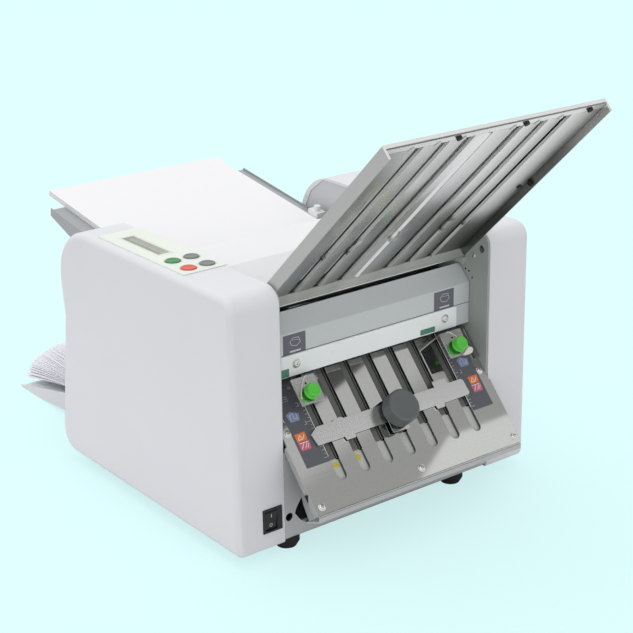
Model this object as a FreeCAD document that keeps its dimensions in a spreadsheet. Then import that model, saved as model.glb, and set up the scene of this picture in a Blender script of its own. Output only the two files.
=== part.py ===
import FreeCAD, Part
import Sketcher
import math
import os

# Desktop paper folding machine with two buckle fold plates.
# Millimetres, +Z up.  X runs across the machine (control side at -X), the
# fold plates stand at -Y, the feed table and the delivery tray at +Y.
# "Machine coordinates" put y = 0 at the front faces of the two covers and
# z = 0 at their bottom edges; yShift and zShift move them to the origin,
# which is the centre of the footprint at the level of the rubber feet.

V = FreeCAD.Vector
doc = FreeCAD.newDocument("FoldingMachine")

# ------------------------------------------------------------------ sheet
sheet = doc.addObject("Spreadsheet::Sheet", "Dims")


class E(object):
    """A number that remembers the sheet expression it came from."""

    def __init__(self, val, txt):
        self.v = float(val)
        self.t = txt

    def _op(self, other, sign, f, swap=False):
        o = ex(other)
        a, b = (o, self) if swap else (self, o)
        return E(f(a.v, b.v), "(%s %s %s)" % (a.t, sign, b.t))

    def __add__(self, o):
        return self._op(o, "+", lambda a, b: a + b)

    def __radd__(self, o):
        return self._op(o, "+", lambda a, b: a + b, True)

    def __sub__(self, o):
        return self._op(o, "-", lambda a, b: a - b)

    def __rsub__(self, o):
        return self._op(o, "-", lambda a, b: a - b, True)

    def __mul__(self, o):
        return self._op(o, "*", lambda a, b: a * b)

    def __rmul__(self, o):
        return self._op(o, "*", lambda a, b: a * b, True)

    def __truediv__(self, o):
        return self._op(o, "/", lambda a, b: a / b)

    def __neg__(self):
        return E(-self.v, "(-1 * %s)" % self.t)


def ex(x):
    return x if isinstance(x, E) else E(x, "%.6f" % float(x))


class Table(object):
    pass


D = Table()
DIMS = [
    ("outerHalf", 243.3, "half width over the covers"),
    ("innerHalf", 171.8, "half width between the covers"),
    ("coverTop", 338.4, "height of the covers"),
    ("coverDeep", 436.0, "depth of the covers"),
    ("coverWall", 3.0, "cover wall"),
    ("coverNose", 22.0, "radius of the front top corner"),
    ("coverTail", 74.0, "radius of the rear top corner"),
    ("coverHeel", 28.0, "radius of the rear bottom corner"),
    ("coverEdge", 9.0, "rounding of the outer edges"),
    ("plateHalf", 169.0, "half width of the fold plates"),
    ("sheetMetal", 1.5, "fold plate sheet"),
    ("frameHalf", 169.5, "inner face of a side frame"),
    ("frameThick", 2.0, "side frame sheet"),
    ("rollDia", 30.0, "fold roller diameter"),
    ("rollPitch", 30.3, "distance of meshing rollers"),
    ("shaftDia", 12.0, "roller shaft"),
    ("rollY", 98.0, "common roller, y"),
    ("rollZ", 250.0, "common roller, z"),
    ("lowAngle", 48.0, "slope of the lower fold plate"),
    ("lowY", -67.8, "lower fold plate, bottom edge, y"),
    ("lowZ", 63.6, "lower fold plate, bottom edge, z"),
    ("lowLong", 192.0, "lower fold plate length"),
    ("upAngle", 136.0, "slope of the upper fold plate"),
    ("upY", 54.0, "upper fold plate, lower edge, y"),
    ("upZ", 311.6, "upper fold plate, lower edge, z"),
    ("upLong", 339.0, "upper fold plate length"),
    ("upRim", 17.0, "upper fold plate rim"),
    ("slotPitch", 37.6, "pitch of the plate slots"),
    ("slotWide", 11.0, "width of the upper plate's slots"),
    ("lowSlotWide", 14.8, "width of the lower plate's slots"),
    ("tableSlope", 9.17, "slope of the feed table"),
    ("tableHalf", 171.2, "half width of the feed table"),
    ("tableY", 345.0, "feed table front end, y"),
    ("tableZ", 274.4, "feed table front end, surface z"),
    ("tableLong", 219.0, "feed table length"),
    ("trayHalf", 171.2, "half width of the delivery tray"),
    ("paperWide", 297.0, "sheet width"),
    ("paperLong", 420.0, "sheet length"),
    ("stackHigh", 8.0, "stack of sheets"),
    ("footHigh", 16.0, "height of a foot"),
    ("footRad", 17.0, "radius of a foot"),
    ("footY", 22.0, "front feet, y"),
    ("footBackY", 380.0, "rear feet, y"),
    ("buttonRad", 10.0, "control button radius"),
    ("knobRad", 22.5, "slide clamp knob radius"),
    ("greenRad", 9.2, "format knob radius"),
    ("yShift", -257.665, "machine coordinates to origin, y"),
    ("zShift", 16.0, "machine coordinates to origin, z"),
]
for i, (name, val, note) in enumerate(DIMS):
    sheet.set("A%d" % (i + 1), note)
    sheet.set("B%d" % (i + 1), repr(val))
    sheet.setAlias("B%d" % (i + 1), name)
    setattr(D, name, E(val, "Dims." + name))
doc.recompute()

PARTS = []


def bind(obj, prop, value):
    """Set a property from a number or a sheet expression."""
    value = ex(value)
    if "Dims." in value.t:
        obj.setExpression(prop, value.t)
    else:
        setattr(obj, prop, value.v)


def place(obj, x=0, y=0, z=0, axis=None, angle=0, shift=False):
    """Placement with every term bound to the sheet where it comes from it."""
    x, y, z, angle = ex(x), ex(y), ex(z), ex(angle)
    if shift:
        y = y + D.yShift
        z = z + D.zShift
    rot = FreeCAD.Rotation(V(*axis), angle.v) if axis else FreeCAD.Rotation()
    obj.Placement = FreeCAD.Placement(V(x.v, y.v, z.v), rot)
    for p, q in (("x", x), ("y", y), ("z", z)):
        if "Dims." in q.t:
            obj.setExpression("Placement.Base." + p, q.t)
    if axis and "Dims." in angle.t:
        obj.setExpression("Placement.Rotation.Angle", angle.t)
    return obj


def part(obj, label, **kw):
    """Declare a finished sub-part in machine coordinates."""
    if obj.TypeId in ("Part::Box", "Part::Cylinder", "Part::Cone"):
        obj = group(obj)
    obj.Label = label
    kw.setdefault("shift", True)
    place(obj, **kw)
    PARTS.append(obj)
    return obj


COUNT = [0]


def nm(stem):
    COUNT[0] += 1
    return "%s_%03d" % (stem, COUNT[0])


def box(x0, x1, y0, y1, z0, z1):
    """Part::Box between limits; each limit may be a sheet expression."""
    x0, x1, y0, y1, z0, z1 = [ex(q) for q in (x0, x1, y0, y1, z0, z1)]
    o = doc.addObject("Part::Box", nm("Box"))
    bind(o, "Length", x1 - x0)
    bind(o, "Width", y1 - y0)
    bind(o, "Height", z1 - z0)
    place(o, x0, y0, z0)
    return o


def cyl(r, length, x, y, z, axis="x"):
    """Part::Cylinder from a start point along +X, +Y or +Z."""
    o = doc.addObject("Part::Cylinder", nm("Cyl"))
    bind(o, "Radius", r)
    bind(o, "Height", length)
    if axis == "x":
        place(o, x, y, z, (0, 1, 0), 90)
    elif axis == "y":
        place(o, x, y, z, (1, 0, 0), -90)
    else:
        place(o, x, y, z)
    return o


def cone(r1, r2, length, x, y, z, axis="z"):
    o = doc.addObject("Part::Cone", nm("Cone"))
    bind(o, "Radius1", r1)
    bind(o, "Radius2", r2)
    bind(o, "Height", length)
    if axis == "x":
        place(o, x, y, z, (0, 1, 0), 90)
    elif axis == "y":
        place(o, x, y, z, (1, 0, 0), -90)
    else:
        place(o, x, y, z)
    return o


def cut(a, *tools):
    t = tools[0] if len(tools) == 1 else fuse(*tools)
    o = doc.addObject("Part::Cut", nm("Cut"))
    o.Base, o.Tool = a, t
    return o


def fuse(*shapes):
    if len(shapes) == 1:
        return shapes[0]
    o = doc.addObject("Part::MultiFuse", nm("Fuse"))
    o.Shapes = list(shapes)
    return o


def group(*shapes):
    o = doc.addObject("Part::Compound", nm("Group"))
    o.Links = list(shapes)
    return o


def body(label):
    b = doc.addObject("PartDesign::Body", "Body_" + label)
    b.Label = label
    return b


def origin_plane(b, role):
    for f in b.Origin.OriginFeatures:
        if f.Role == role:
            return f
    raise RuntimeError(role)


def sketch(b, role="YZ_Plane", off=0):
    s = b.newObject("Sketcher::SketchObject", nm("Sketch"))
    s.AttachmentSupport = [(origin_plane(b, role), "")]
    s.MapMode = "FlatFace"
    off = ex(off)
    s.AttachmentOffset = FreeCAD.Placement(V(0, 0, off.v), FreeCAD.Rotation())
    if "Dims." in off.t:
        s.setExpression("AttachmentOffset.Base.z", off.t)
    return s


def pin(s, kind, g, pt, val):
    val = ex(val)
    k = s.addConstraint(Sketcher.Constraint(kind, -1, 1, g, pt, val.v))
    if "Dims." in val.t:
        s.renameConstraint(k, "k%d" % k)
        s.setExpression("Constraints.k%d" % k, val.t)


def polygon(s, pts):
    """Closed outline whose corners are all dimensioned from the origin."""
    pts = [(ex(a), ex(c)) for a, c in pts]
    g0 = len(s.Geometry)
    n = len(pts)
    for i in range(n):
        a, c = pts[i], pts[(i + 1) % n]
        s.addGeometry(Part.LineSegment(V(a[0].v, a[1].v, 0), V(c[0].v, c[1].v, 0)))
    for i in range(n):
        s.addConstraint(Sketcher.Constraint("Coincident", g0 + i, 2, g0 + (i + 1) % n, 1))
    for i in range(n):
        pin(s, "DistanceX", g0 + i, 1, pts[i][0])
        pin(s, "DistanceY", g0 + i, 1, pts[i][1])
    return s


def rect(s, x0, x1, y0, y1):
    return polygon(s, [(x0, y0), (x1, y0), (x1, y1), (x0, y1)])


def circle(s, x, y, r):
    x, y, r = ex(x), ex(y), ex(r)
    g = s.addGeometry(Part.Circle(V(x.v, y.v, 0), V(0, 0, 1), r.v))
    k = s.addConstraint(Sketcher.Constraint("Radius", g, r.v))
    if "Dims." in r.t:
        s.renameConstraint(k, "k%d" % k)
        s.setExpression("Constraints.k%d" % k, r.t)
    pin(s, "DistanceX", g, 3, x)
    pin(s, "DistanceY", g, 3, y)
    return s


def slotted(s, x, y, half, r):
    """Round-ended slot along the sketch's y direction."""
    x, y, half, r = ex(x), ex(y), ex(half), ex(r)
    g = s.addGeometry(Part.LineSegment(V(x.v + r.v, y.v - half.v, 0), V(x.v + r.v, y.v + half.v, 0)))
    s.addGeometry(Part.ArcOfCircle(Part.Circle(V(x.v, y.v + half.v, 0), V(0, 0, 1), r.v), 0, math.pi))
    s.addGeometry(Part.LineSegment(V(x.v - r.v, y.v + half.v, 0), V(x.v - r.v, y.v - half.v, 0)))
    s.addGeometry(Part.ArcOfCircle(Part.Circle(V(x.v, y.v - half.v, 0), V(0, 0, 1), r.v), math.pi, 2 * math.pi))
    C = Sketcher.Constraint
    s.addConstraint(C("Tangent", g, 2, g + 1, 1))
    s.addConstraint(C("Tangent", g + 1, 2, g + 2, 1))
    s.addConstraint(C("Tangent", g + 2, 2, g + 3, 1))
    s.addConstraint(C("Tangent", g + 3, 2, g, 1))
    pin(s, "DistanceX", g + 1, 3, x)
    pin(s, "DistanceY", g + 1, 3, y + half)
    pin(s, "DistanceX", g + 3, 3, x)
    pin(s, "DistanceY", g + 3, 3, y - half)
    k = s.addConstraint(C("Radius", g + 1, r.v))
    if "Dims." in r.t:
        s.renameConstraint(k, "k%d" % k)
        s.setExpression("Constraints.k%d" % k, r.t)
    return s


def pad(b, s, length, rev=False):
    p = b.newObject("PartDesign::Pad", nm("Pad"))
    p.Profile = s
    bind(p, "Length", length)
    p.Reversed = rev
    s.Visibility = False
    return p


def pocket(b, s, length=None, rev=False, both=False):
    """Cut a sketch out of the body, and insist that it removed something."""
    doc.recompute()
    before = b.Shape.Volume
    p = b.newObject("PartDesign::Pocket", nm("Pocket"))
    p.Profile = s
    if length is None:
        p.Type = 1
    else:
        bind(p, "Length", length)
    if both:
        p.Midplane = True
    p.Reversed = rev
    doc.recompute()
    if b.Shape.Volume >= before - 1e-3:
        raise RuntimeError("pocket in %s cuts nothing" % b.Label)
    return p


def fillet(b, radius, pick, kind="Fillet"):
    """Fillet or chamfer the edges that the pick function accepts."""
    doc.recompute()
    tip = b.Tip
    names = ["Edge%d" % (i + 1) for i, e in enumerate(tip.Shape.Edges) if pick(e)]
    if not names:
        raise RuntimeError("no edge to round in %s" % b.Label)
    f = b.newObject("PartDesign::" + kind, nm(kind))
    f.Base = (tip, names)
    bind(f, "Radius" if kind == "Fillet" else "Size", radius)
    doc.recompute()
    return f


def revolve(b, s, axis_role="Z_Axis", angle=360.0):
    r = b.newObject("PartDesign::Revolution", nm("Rev"))
    r.Profile = s
    for f in b.Origin.OriginFeatures:
        if f.Role == axis_role:
            r.ReferenceAxis = (f, [""])
    r.Angle = angle
    return r


def axis_of(b, role):
    for f in b.Origin.OriginFeatures:
        if f.Role == role:
            return f


def linear(b, feature, role, length, count):
    """Linear pattern of a feature along an origin axis; becomes the tip."""
    q = b.newObject("PartDesign::LinearPattern", nm("Linear"))
    q.Originals = [feature]
    q.Direction = (axis_of(b, role), [""])
    bind(q, "Length", length)
    q.Occurrences = count
    b.Tip = q
    return q


def polar(b, feature, role, count):
    q = b.newObject("PartDesign::PolarPattern", nm("Polar"))
    q.Originals = [feature]
    q.Axis = (axis_of(b, role), [""])
    q.Angle = 360
    q.Occurrences = count
    b.Tip = q
    return q


def along_x(e, at=None):
    bb = e.BoundBox
    ok = bb.XLength > 1e-3 and bb.YLength < 1e-6 and bb.ZLength < 1e-6
    if not ok:
        return False
    if at is None:
        return True
    return any(abs(bb.YMin - y) < 0.05 and abs(bb.ZMin - z) < 0.05 for y, z in at)


def along_z(e, at=None):
    bb = e.BoundBox
    ok = bb.ZLength > 1e-3 and bb.YLength < 1e-6 and bb.XLength < 1e-6
    if not ok:
        return False
    if at is None:
        return True
    return any(abs(bb.XMin - x) < 0.05 and abs(bb.YMin - y) < 0.05 for x, y in at)


def on_x(e, x):
    bb = e.BoundBox
    return bb.XLength < 1e-6 and abs(bb.XMin - x) < 1e-3


# ------------------------------------------------------- the two covers
def outline(inset):
    """Side outline of a cover (y, z), drawn inwards by inset."""
    k = ex(inset)
    return [(0 + k, 0 + k), (0 + k, D.coverTop - k), (D.coverDeep - 22 - k, D.coverTop - k),
            (D.coverDeep - 22 - k, E(255, "255")), (D.coverDeep - 27 - k, E(208, "208")),
            (D.coverDeep - k, E(40, "40")), (D.coverDeep - k, 0 + k)]


def round_outline(b, inset):
    k = inset
    top, deep = D.coverTop.v, D.coverDeep.v
    fillet(b, D.coverNose - k, lambda e: along_x(e, [(k, top - k)]))
    fillet(b, D.coverTail - k, lambda e: along_x(e, [(deep - 22 - k, top - k)]))
    fillet(b, D.coverHeel - k, lambda e: along_x(e, [(deep - k, k)]))
    fillet(b, 4, lambda e: along_x(e, [(k, k)]))


def cover(label, side):
    b = body(label)
    s = sketch(b, "YZ_Plane", side * D.innerHalf)
    polygon(s, outline(0))
    pad(b, s, D.outerHalf - D.innerHalf, rev=(side < 0))
    round_outline(b, 0)
    # the outer face runs into the front, top and rear with one soft edge
    fillet(b, D.coverEdge, lambda e: on_x(e, side * D.outerHalf.v))
    # hollow from the inner side; the wall follows the outline
    h = sketch(b, "YZ_Plane", side * (D.outerHalf - D.coverWall - 1.5))
    polygon(h, [(4, 4), (4, D.coverTop - 14), (16, D.coverTop - 4), (D.coverDeep - 78, D.coverTop - 4),
                (D.coverDeep - 48, D.coverTop - 26), (D.coverDeep - 31, D.coverTop - 58),
                (D.coverDeep - 27, 250), (D.coverDeep - 32, 208), (D.coverDeep - 5, 38),
                (D.coverDeep - 5, 27), (D.coverDeep - 26, 4)])
    pocket(b, h, 200, rev=(side < 0))
    return b


def liner(side, front):
    """Inner panel that closes the rear of a cover above and behind the frame, set back from its rim."""
    q = body(nm("liner"))
    h = sketch(q, "YZ_Plane", side * (D.innerHalf + 1.2))
    polygon(h, [(front, D.coverTop - 3.9), (D.coverDeep - 78, D.coverTop - 3.9), (D.coverDeep - 48, D.coverTop - 25.9),
                (D.coverDeep - 31, D.coverTop - 57.9), (D.coverDeep - 26.9, 250), (D.coverDeep - 31.9, 208),
                (D.coverDeep - 4.9, 38), (D.coverDeep - 4.9, 27), (D.coverDeep - 26, 3.9), (399, 3.9), (399, 236),
                (341, 253), (329, 301), (front, 301)])
    pad(q, h, 1.5, rev=(side < 0))
    return q


left = cover("left_cover_shell", -1)
# opening for the mains switch in the lower inner corner of the front wall
s = sketch(left, "XZ_Plane", 1)
rect(s, -205.4, -176.2, 23.0, 55.6)
pocket(left, s, 8, rev=False)
# opening under the control panel
s = sketch(left, "XY_Plane", D.coverTop + 1)
rect(s, -226, -169, 118, 308)
pocket(left, s, 8)
# mains inlet in the rear wall
s = sketch(left, "XZ_Plane", -1 * (D.coverDeep - 20))
rect(s, -224, -196, 60, 88)
pocket(left, s, 30)
part(fuse(left, liner(-1, 310)), "left_cover")
part(fuse(cover("right_cover_shell", 1), liner(1, 229)), "right_cover")

# ---------------------------------------------------------- side frames
# (y, z) of everything that turns between the frames
R2 = (D.rollY, D.rollZ)
R1 = (D.rollY + 0.33 * D.rollPitch, D.rollZ + 0.94398 * D.rollPitch)
R3 = (D.rollY - D.rollPitch, D.rollZ)
R4 = (D.rollY + 0.13 * D.rollPitch, D.rollZ - 0.99151 * D.rollPitch)
FEED = (E(205, "205"), E(285.6, "285.6"))
EXLO = (E(383, "383"), E(88, "88"))
EXUP = (E(383, "383"), E(110.5, "110.5"))
MOTOR = (E(190, "190"), E(72, "72"))
BEAR = 9.5    # outer radius of a bearing


def side_frame(label, side):
    b = body(label + "_sheet")
    s = sketch(b, "YZ_Plane", side * D.frameHalf)
    polygon(s, [(2, 10), (396, 10), (396, 232), (338, 250), (326, 299), (67, 299), (62, 334), (2, 334)])
    pad(b, s, D.frameThick, rev=(side < 0))
    fillet(b, 5, lambda e: along_x(e, [(2, 10), (396, 10), (396, 232)]))
    fillet(b, 15, lambda e: along_x(e, [(2, 334), (62, 334)]))
    s = sketch(b, "YZ_Plane", side * (D.frameHalf + 3))
    for (y, z) in (R1, R2, R3, R4, FEED, EXLO, EXUP):
        circle(s, y, z, BEAR + 0.02)
    circle(s, 14.7, 311.6, 5.0)
    if side < 0:
        circle(s, MOTOR[0], MOTOR[1], 14)
    pocket(b, s, 8, rev=(side < 0))
    # ledge that carries the upper fold plate
    if side > 0:
        ledge = box(D.frameHalf - 7, D.frameHalf + 0.5, 44, 60, 286, 293.8)
    else:
        ledge = box(-1 * D.frameHalf - 0.5, -1 * D.frameHalf + 7, 44, 60, 286, 293.8)
    return part(fuse(b, ledge), label)


side_frame("side_frame_left", -1)
side_frame("side_frame_right", 1)

# three round tie rods hold the frames apart
rods = group(*[cyl(5, D.frameHalf * 2 - 0.4, -1 * D.frameHalf + 0.2, y, z)
               for y, z in ((150, 286), (360, 30), (240, 110))])


# base pan with upturned front and rear flanges
b = body("base_pan")
s = sketch(b, "YZ_Plane", -1 * D.frameHalf + 0.5)
polygon(s, [(6, 1), (408, 1), (408, 20), (406, 20), (406, 3), (8, 3), (8, 20), (6, 20)])
pad(b, s, D.frameHalf * 2 - 1)
s = sketch(b, "XY_Plane", 4)
for x in (-60, 0, 60):
    slotted(s, x, 250, 30, 4)
pocket(b, s, 8)
part(b, "base_pan")

# four moulded rubber feet under the base pan
FEET = ((-154.2, D.footY), (128, D.footY + 3), (-152, D.footBackY), (128, D.footBackY))
feet = []
for x, y in FEET:
    feet.append(fuse(cone(D.footRad - 4, D.footRad, 7, x, y, -1 * D.footHigh),
                     cyl(D.footRad, D.footHigh - 6, x, y, -9 + ex(0), "z")))
part(group(*feet), "rubber_feet")

# ---------------------------------------------------- cover stand-offs
st = []
for sg in (-1, 1):
    for y, z in ((40, 40), (300, 40), (60, 300), (300, 230)):
        x0 = D.frameHalf + D.frameThick
        if sg > 0:
            st.append(cyl(5, D.outerHalf - D.coverWall - 1.5 - x0, x0, y, z))
        else:
            st.append(cyl(5, D.outerHalf - D.coverWall - 1.5 - x0,
                          -1 * D.outerHalf + D.coverWall + 1.5, y, z))
part(group(rods, *st), "tie_rods")

# ------------------------------------------------------------ top cover
# moulded bridge between the covers: level top, sloping front, turned-down rear lip
b = body("top_shell")
s = sketch(b, "YZ_Plane", -1 * D.innerHalf + 0.4)
polygon(s, [(70, 303), (128, 330), (216, 330), (226, 324), (226, 312), (223.5, 312), (223.5, 322.5),
            (214.5, 327.2), (129, 327.2), (71.2, 300.2)])
pad(b, s, D.innerHalf * 2 - 0.8)
# tabs at both ends that are screwed to the frames
tabs = [box(x, x + 2, y, y + 22, 292.5, 328.5) for x in (-1 * D.frameHalf + 0.3, D.frameHalf - 2.3) for y in (128, 170)]
part(fuse(b, *tabs), "top_cover")

# --------------------------------------------------------- front cover
# painted sheet: vertical face, face sloping back above it, folded ends
b = body("front_cover")
s = sketch(b, "YZ_Plane", -1 * D.frameHalf + 0.6)
polygon(s, [(36.7, 203.4), (36.7, 261), (57, 283), (58.5, 281.6), (38.7, 260.2), (38.7, 205.4), (44, 205.4), (44, 203.4)])
pad(b, s, D.frameHalf * 2 - 1.2)
part(b, "front_cover")

# white marker bar screwed on in front of it
b = body("marker_bar")
s = sketch(b, "XZ_Plane", -34.2)
rect(s, -147.8, 144.2, 204.4, 232.6)
pad(b, s, 2.4, rev=True)
fillet(b, 1.2, lambda e: e.BoundBox.XLength > 200 and e.BoundBox.YMin < 35 and e.BoundBox.ZMin > 210)
s = sketch(b, "XZ_Plane", -30)
circle(s, -123.2, 220, 2.2)
circle(s, 123.2, 220, 2.2)
pocket(b, s, 20)
part(b, "marker_bar")

# ------------------------------------------------------- lower fold plate
# local axes: x across, y up the slope, z out of the visible face
LOW = dict(x=0, y=D.lowY, z=D.lowZ, axis=(1, 0, 0), angle=D.lowAngle)
b = body("lower_front_sheet")
s = sketch(b, "XY_Plane", 0)
rect(s, -1 * D.plateHalf, D.plateHalf, 0, D.lowLong)
pad(b, s, D.sheetMetal, rev=True)
s = sketch(b, "XY_Plane", 2)
slotted(s, -3 * D.slotPitch, 108, 68, D.lowSlotWide / 2)
pk = pocket(b, s, 8)
linear(b, pk, "X_Axis", D.slotPitch * 6, 7)
front_sheet = b

# second sheet of the same plate, the paper runs between the two
b = body("lower_back_sheet")
s = sketch(b, "XY_Plane", -6.5)
rect(s, -1 * D.plateHalf + 1.6, D.plateHalf - 1.6, 4, D.lowLong - 8)
pad(b, s, D.sheetMetal, rev=False)
edge_bars = [box(x, x + 6, 20, 170, -5.2, -1.4) for x in (-1 * D.plateHalf + 2, D.plateHalf - 8)]
# turned-down flanges along the part of both sides that stands clear of the covers
edge_bars += [box(x, x + 1.5, 0.4, 93.5, -9, 0) for x in (-1 * D.plateHalf - 1.5, D.plateHalf)]
part(fuse(front_sheet, b, *edge_bars), "lower_fold_plate", **LOW)

# cradle: folded front lip and two inner cheeks that carry the plate, and the
# front panel between the covers that they stand on
CH = [(0.6, 128.0), (D.lowY + 8.8, 62.0), (D.lowY + 1.8, 55.2), (D.lowY + 26.8, 43.8), (0.6, 22.0)]


def cheek(x0, wide):
    bb = body(nm("cheek"))
    sk = sketch(bb, "YZ_Plane", x0)
    polygon(sk, CH)
    pad(bb, sk, wide)
    sk = sketch(bb, "YZ_Plane", x0 + 4)
    circle(sk, -20, 68, 12)
    pocket(bb, sk, 12)
    return bb


ck_l = cheek(-112, 1.5)
ck_r = cheek(110.5, 1.5)
lip = body("cradle_lip")
s = sketch(lip, "YZ_Plane", -1 * D.plateHalf)
polygon(s, [(D.lowY + 0.9, 60.8), (D.lowY - 0.9, 60.8), (D.lowY - 0.9, 54.4), (D.lowY + 27, 42.9), (D.lowY + 27.6, 44.4),
            (D.lowY + 0.9, 55.5)])
pad(lip, s, D.plateHalf * 2)
fp = body("front_panel")
s = sketch(fp, "XZ_Plane", -0.1)
rect(s, -1 * D.innerHalf + 0.5, D.innerHalf - 0.5, 6, 124)
pad(fp, s, 1.5, rev=True)
s = sketch(fp, "XZ_Plane", 2)
for sg in (-1, 1):
    circle(s, sg * 164.6, 34, 5.6)
    polygon(s, [(sg * 145.7, 54.8), (sg * 154.2, 41.9), (sg * 155.7, 36.4), (sg * 147.9, 25.3), (sg * 135.8, 16.5),
                (sg * 133.1, 16.8), (sg * 142.0, 44.0), (sg * 143.6, 52.9)])
pocket(fp, s, 8)
part(fuse(ck_l, ck_r, lip, fp), "lower_plate_cradle")

# ------------------------------------------------------- upper fold plate
UP = dict(x=0, y=D.upY, z=D.upZ, axis=(1, 0, 0), angle=D.upAngle)
b = body("upper_sheet")
s = sketch(b, "XY_Plane", 0)
rect(s, -1 * D.plateHalf, D.plateHalf, -7, D.upLong)
pad(b, s, D.upRim, rev=False)
s = sketch(b, "XY_Plane", D.upRim + 1)
rect(s, -1 * D.plateHalf + 1.6, D.plateHalf - 1.6, -5.4, D.upLong + 1)
pocket(b, s, D.upRim + 1 - D.sheetMetal)
# mouth for the sheet at the lower end wall
s = sketch(b, "XZ_Plane", 12)
rect(s, -160, 160, 1.6, 5.2)
pocket(b, s, 12)
s = sketch(b, "XY_Plane", 8)
for k in (-3, -2, 0, 2, 3):
    slotted(s, k * D.slotPitch, 170, 145, 2.5)
pocket(b, s, 20)
# lip that closes the gap above the under-sheet at the free end
part(fuse(b, box(-1 * D.plateHalf + 1.2, D.plateHalf - 1.2, D.upLong - 1.5, D.upLong, 1.2, 4.7)), "upper_fold_plate", **UP)

# ribbed under-sheet of the upper plate with its wide slots
b = body("upper_under_sheet")
s = sketch(b, "XY_Plane", 5.0)
rect(s, -1 * D.plateHalf + 2.0, D.plateHalf - 2.0, 3, D.upLong - 0.4)
pad(b, s, D.sheetMetal, rev=False)
s = sketch(b, "XY_Plane", 8)
for k in (-3, -2, -1, 1, 2, 3):
    slotted(s, k * D.slotPitch, 169, 157, D.slotWide / 2)
slotted(s, 0, 169, 160, 1.3)
pocket(b, s, 8)
part(b, "upper_under_sheet", **UP)

# small rubber bumpers on the upper plate
bump = [cyl(3.6, 2.8, x, 333, 6.5, "z") for x in (-61.4, 40.9, 143.2)]
bump.append(cyl(3.4, 3.0, D.plateHalf - 1.6 - 3.0, 168, 10.2, "x"))
bump.append(cyl(3.4, 2.6, 156.5, 158, 6.5, "z"))
part(group(*bump), "plate_bumpers", **UP)

# --------------------------------------------------------- fold rollers
ROLL = {}


def roller(label, yz, ridge, pulley=None):
    """Steel-cored roller with journals and belt pulley; its local axis is X."""
    y, z = yz
    core = cyl(D.rollDia / 2, 2 * D.frameHalf - 7, -1 * D.frameHalf + 3.5, 0, 0)
    far = 22 if label.endswith("common") else 5
    shaft = cyl(D.shaftDia / 2, 2 * D.frameHalf + 27 + far, -1 * D.frameHalf - far, 0, 0)
    cuts = [box(x, x + 3, -40, 40, -40, 40) for x in ridge]
    turned = [cut(c, cyl(D.rollDia / 2 - 1, 4, c.Placement.Base.x - 0.5, 0, 0)) for c in cuts]
    base = cut(core, *turned) if turned else core
    more = []
    if pulley:
        more = [cyl(pulley[0], pulley[2], pulley[1], 0, 0)]
    part(fuse(base, shaft, *more), label, x=0, y=y, z=z)
    return label


outer = D.frameHalf + D.frameThick
roller("fold_roller_upper", R1, (-60, 60), (9, outer + 18, 8))
roller("fold_roller_common", R2, (-60, 60), (24, -188, 10))
roller("fold_roller_front", R3, (-60, 60))
roller("fold_roller_lower", R4, (-60, 60), (12, outer + 18, 8))

# spur gears on the right-hand journals: 20 teeth, pitch circle = roller pitch
TEETH = 20


def gear(label, yz, phase):
    """phase: angle of one tooth's centre, degrees from +Y towards +Z."""
    y, z = yz
    b = body(label)
    s = sketch(b, "YZ_Plane", 0)
    circle(s, 0, 0, D.rollPitch / 2 - 1.75)
    circle(s, 0, 0, D.shaftDia / 2 + 0.02)
    pad(b, s, 10)
    t = sketch(b, "YZ_Plane", 0)
    r0, r1 = D.rollPitch.v / 2 - 2.2, D.rollPitch.v / 2 + 1.25
    w0, w1, wm = 1.62, 0.62, 1.08
    rm = D.rollPitch.v / 2
    polygon(t, [(r0, -w0), (rm, -wm), (r1, -w1), (r1, w1), (rm, wm), (r0, w0)])
    p = pad(b, t, 10)
    doc.recompute()
    polar(b, p, "X_Axis", TEETH)
    return part(b, label, x=D.frameHalf + D.frameThick + 3.5, y=y, z=z, axis=(1, 0, 0), angle=phase)


pitch_deg = 360.0 / TEETH
phi2 = 4.0
gear("gear_common", R2, phi2)


def mate_phase(yz):
    """Phase of a gear that meshes with the common gear."""
    th = math.degrees(math.atan2(yz[1].v - R2[1].v, yz[0].v - R2[0].v))
    delta = (phi2 - th) % pitch_deg
    return (th + 180.0 - delta + pitch_deg / 2) % 360.0


gear("gear_upper", R1, mate_phase(R1))
gear("gear_front", R3, mate_phase(R3))
gear("gear_lower", R4, mate_phase(R4))

# ---------------------------------------------------- feed and exit shafts
part(fuse(cyl(D.shaftDia / 2, 2 * D.frameHalf + 28, -1 * D.frameHalf - 5, 0, 0),
          cyl(15, 8, D.frameHalf + D.frameThick + 18, 0, 0)), "feed_shaft", x=0, y=FEED[0], z=FEED[1])
tyres = []
for x in (-62, -14, 34):
    tyres.append(cut(cyl(25, 28, x, 0, 0), cyl(D.shaftDia / 2, 40, x - 4, 0, 0)))
part(group(*tyres), "feed_tyres", x=0, y=FEED[0], z=FEED[1])

wh = [cyl(10.5, 14, x, 0, 0) for x in (-117, -57, 43, 103)]
part(fuse(cyl(D.shaftDia / 2, 2 * D.frameHalf + 28, -1 * D.frameHalf - 5, 0, 0),
          cyl(12, 8, D.frameHalf + D.frameThick + 18, 0, 0), *wh), "exit_roller_lower", x=0, y=EXLO[0], z=EXLO[1])
wh = [cyl(11.5, 14, x, 0, 0) for x in (-117, -57, 43, 103)]
part(fuse(cyl(D.shaftDia / 2, 2 * D.frameHalf + 10, -1 * D.frameHalf - 5, 0, 0), *wh),
     "exit_roller_upper", x=0, y=EXUP[0], z=EXUP[1])

# flanged bearings pressed into both frames
be = []
for (y, z) in (R1, R2, R3, R4, FEED, EXLO, EXUP):
    for x0 in (D.frameHalf * -1 - D.frameThick - 1.0, D.frameHalf - 1.0):
        be.append(cut(cyl(BEAR, D.frameThick + 2.0, x0, y, z),
                      cyl(D.shaftDia / 2 + 0.05, D.frameThick + 6.0, x0 - 2, y, z)))
part(group(*be), "roller_bearings")

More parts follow.
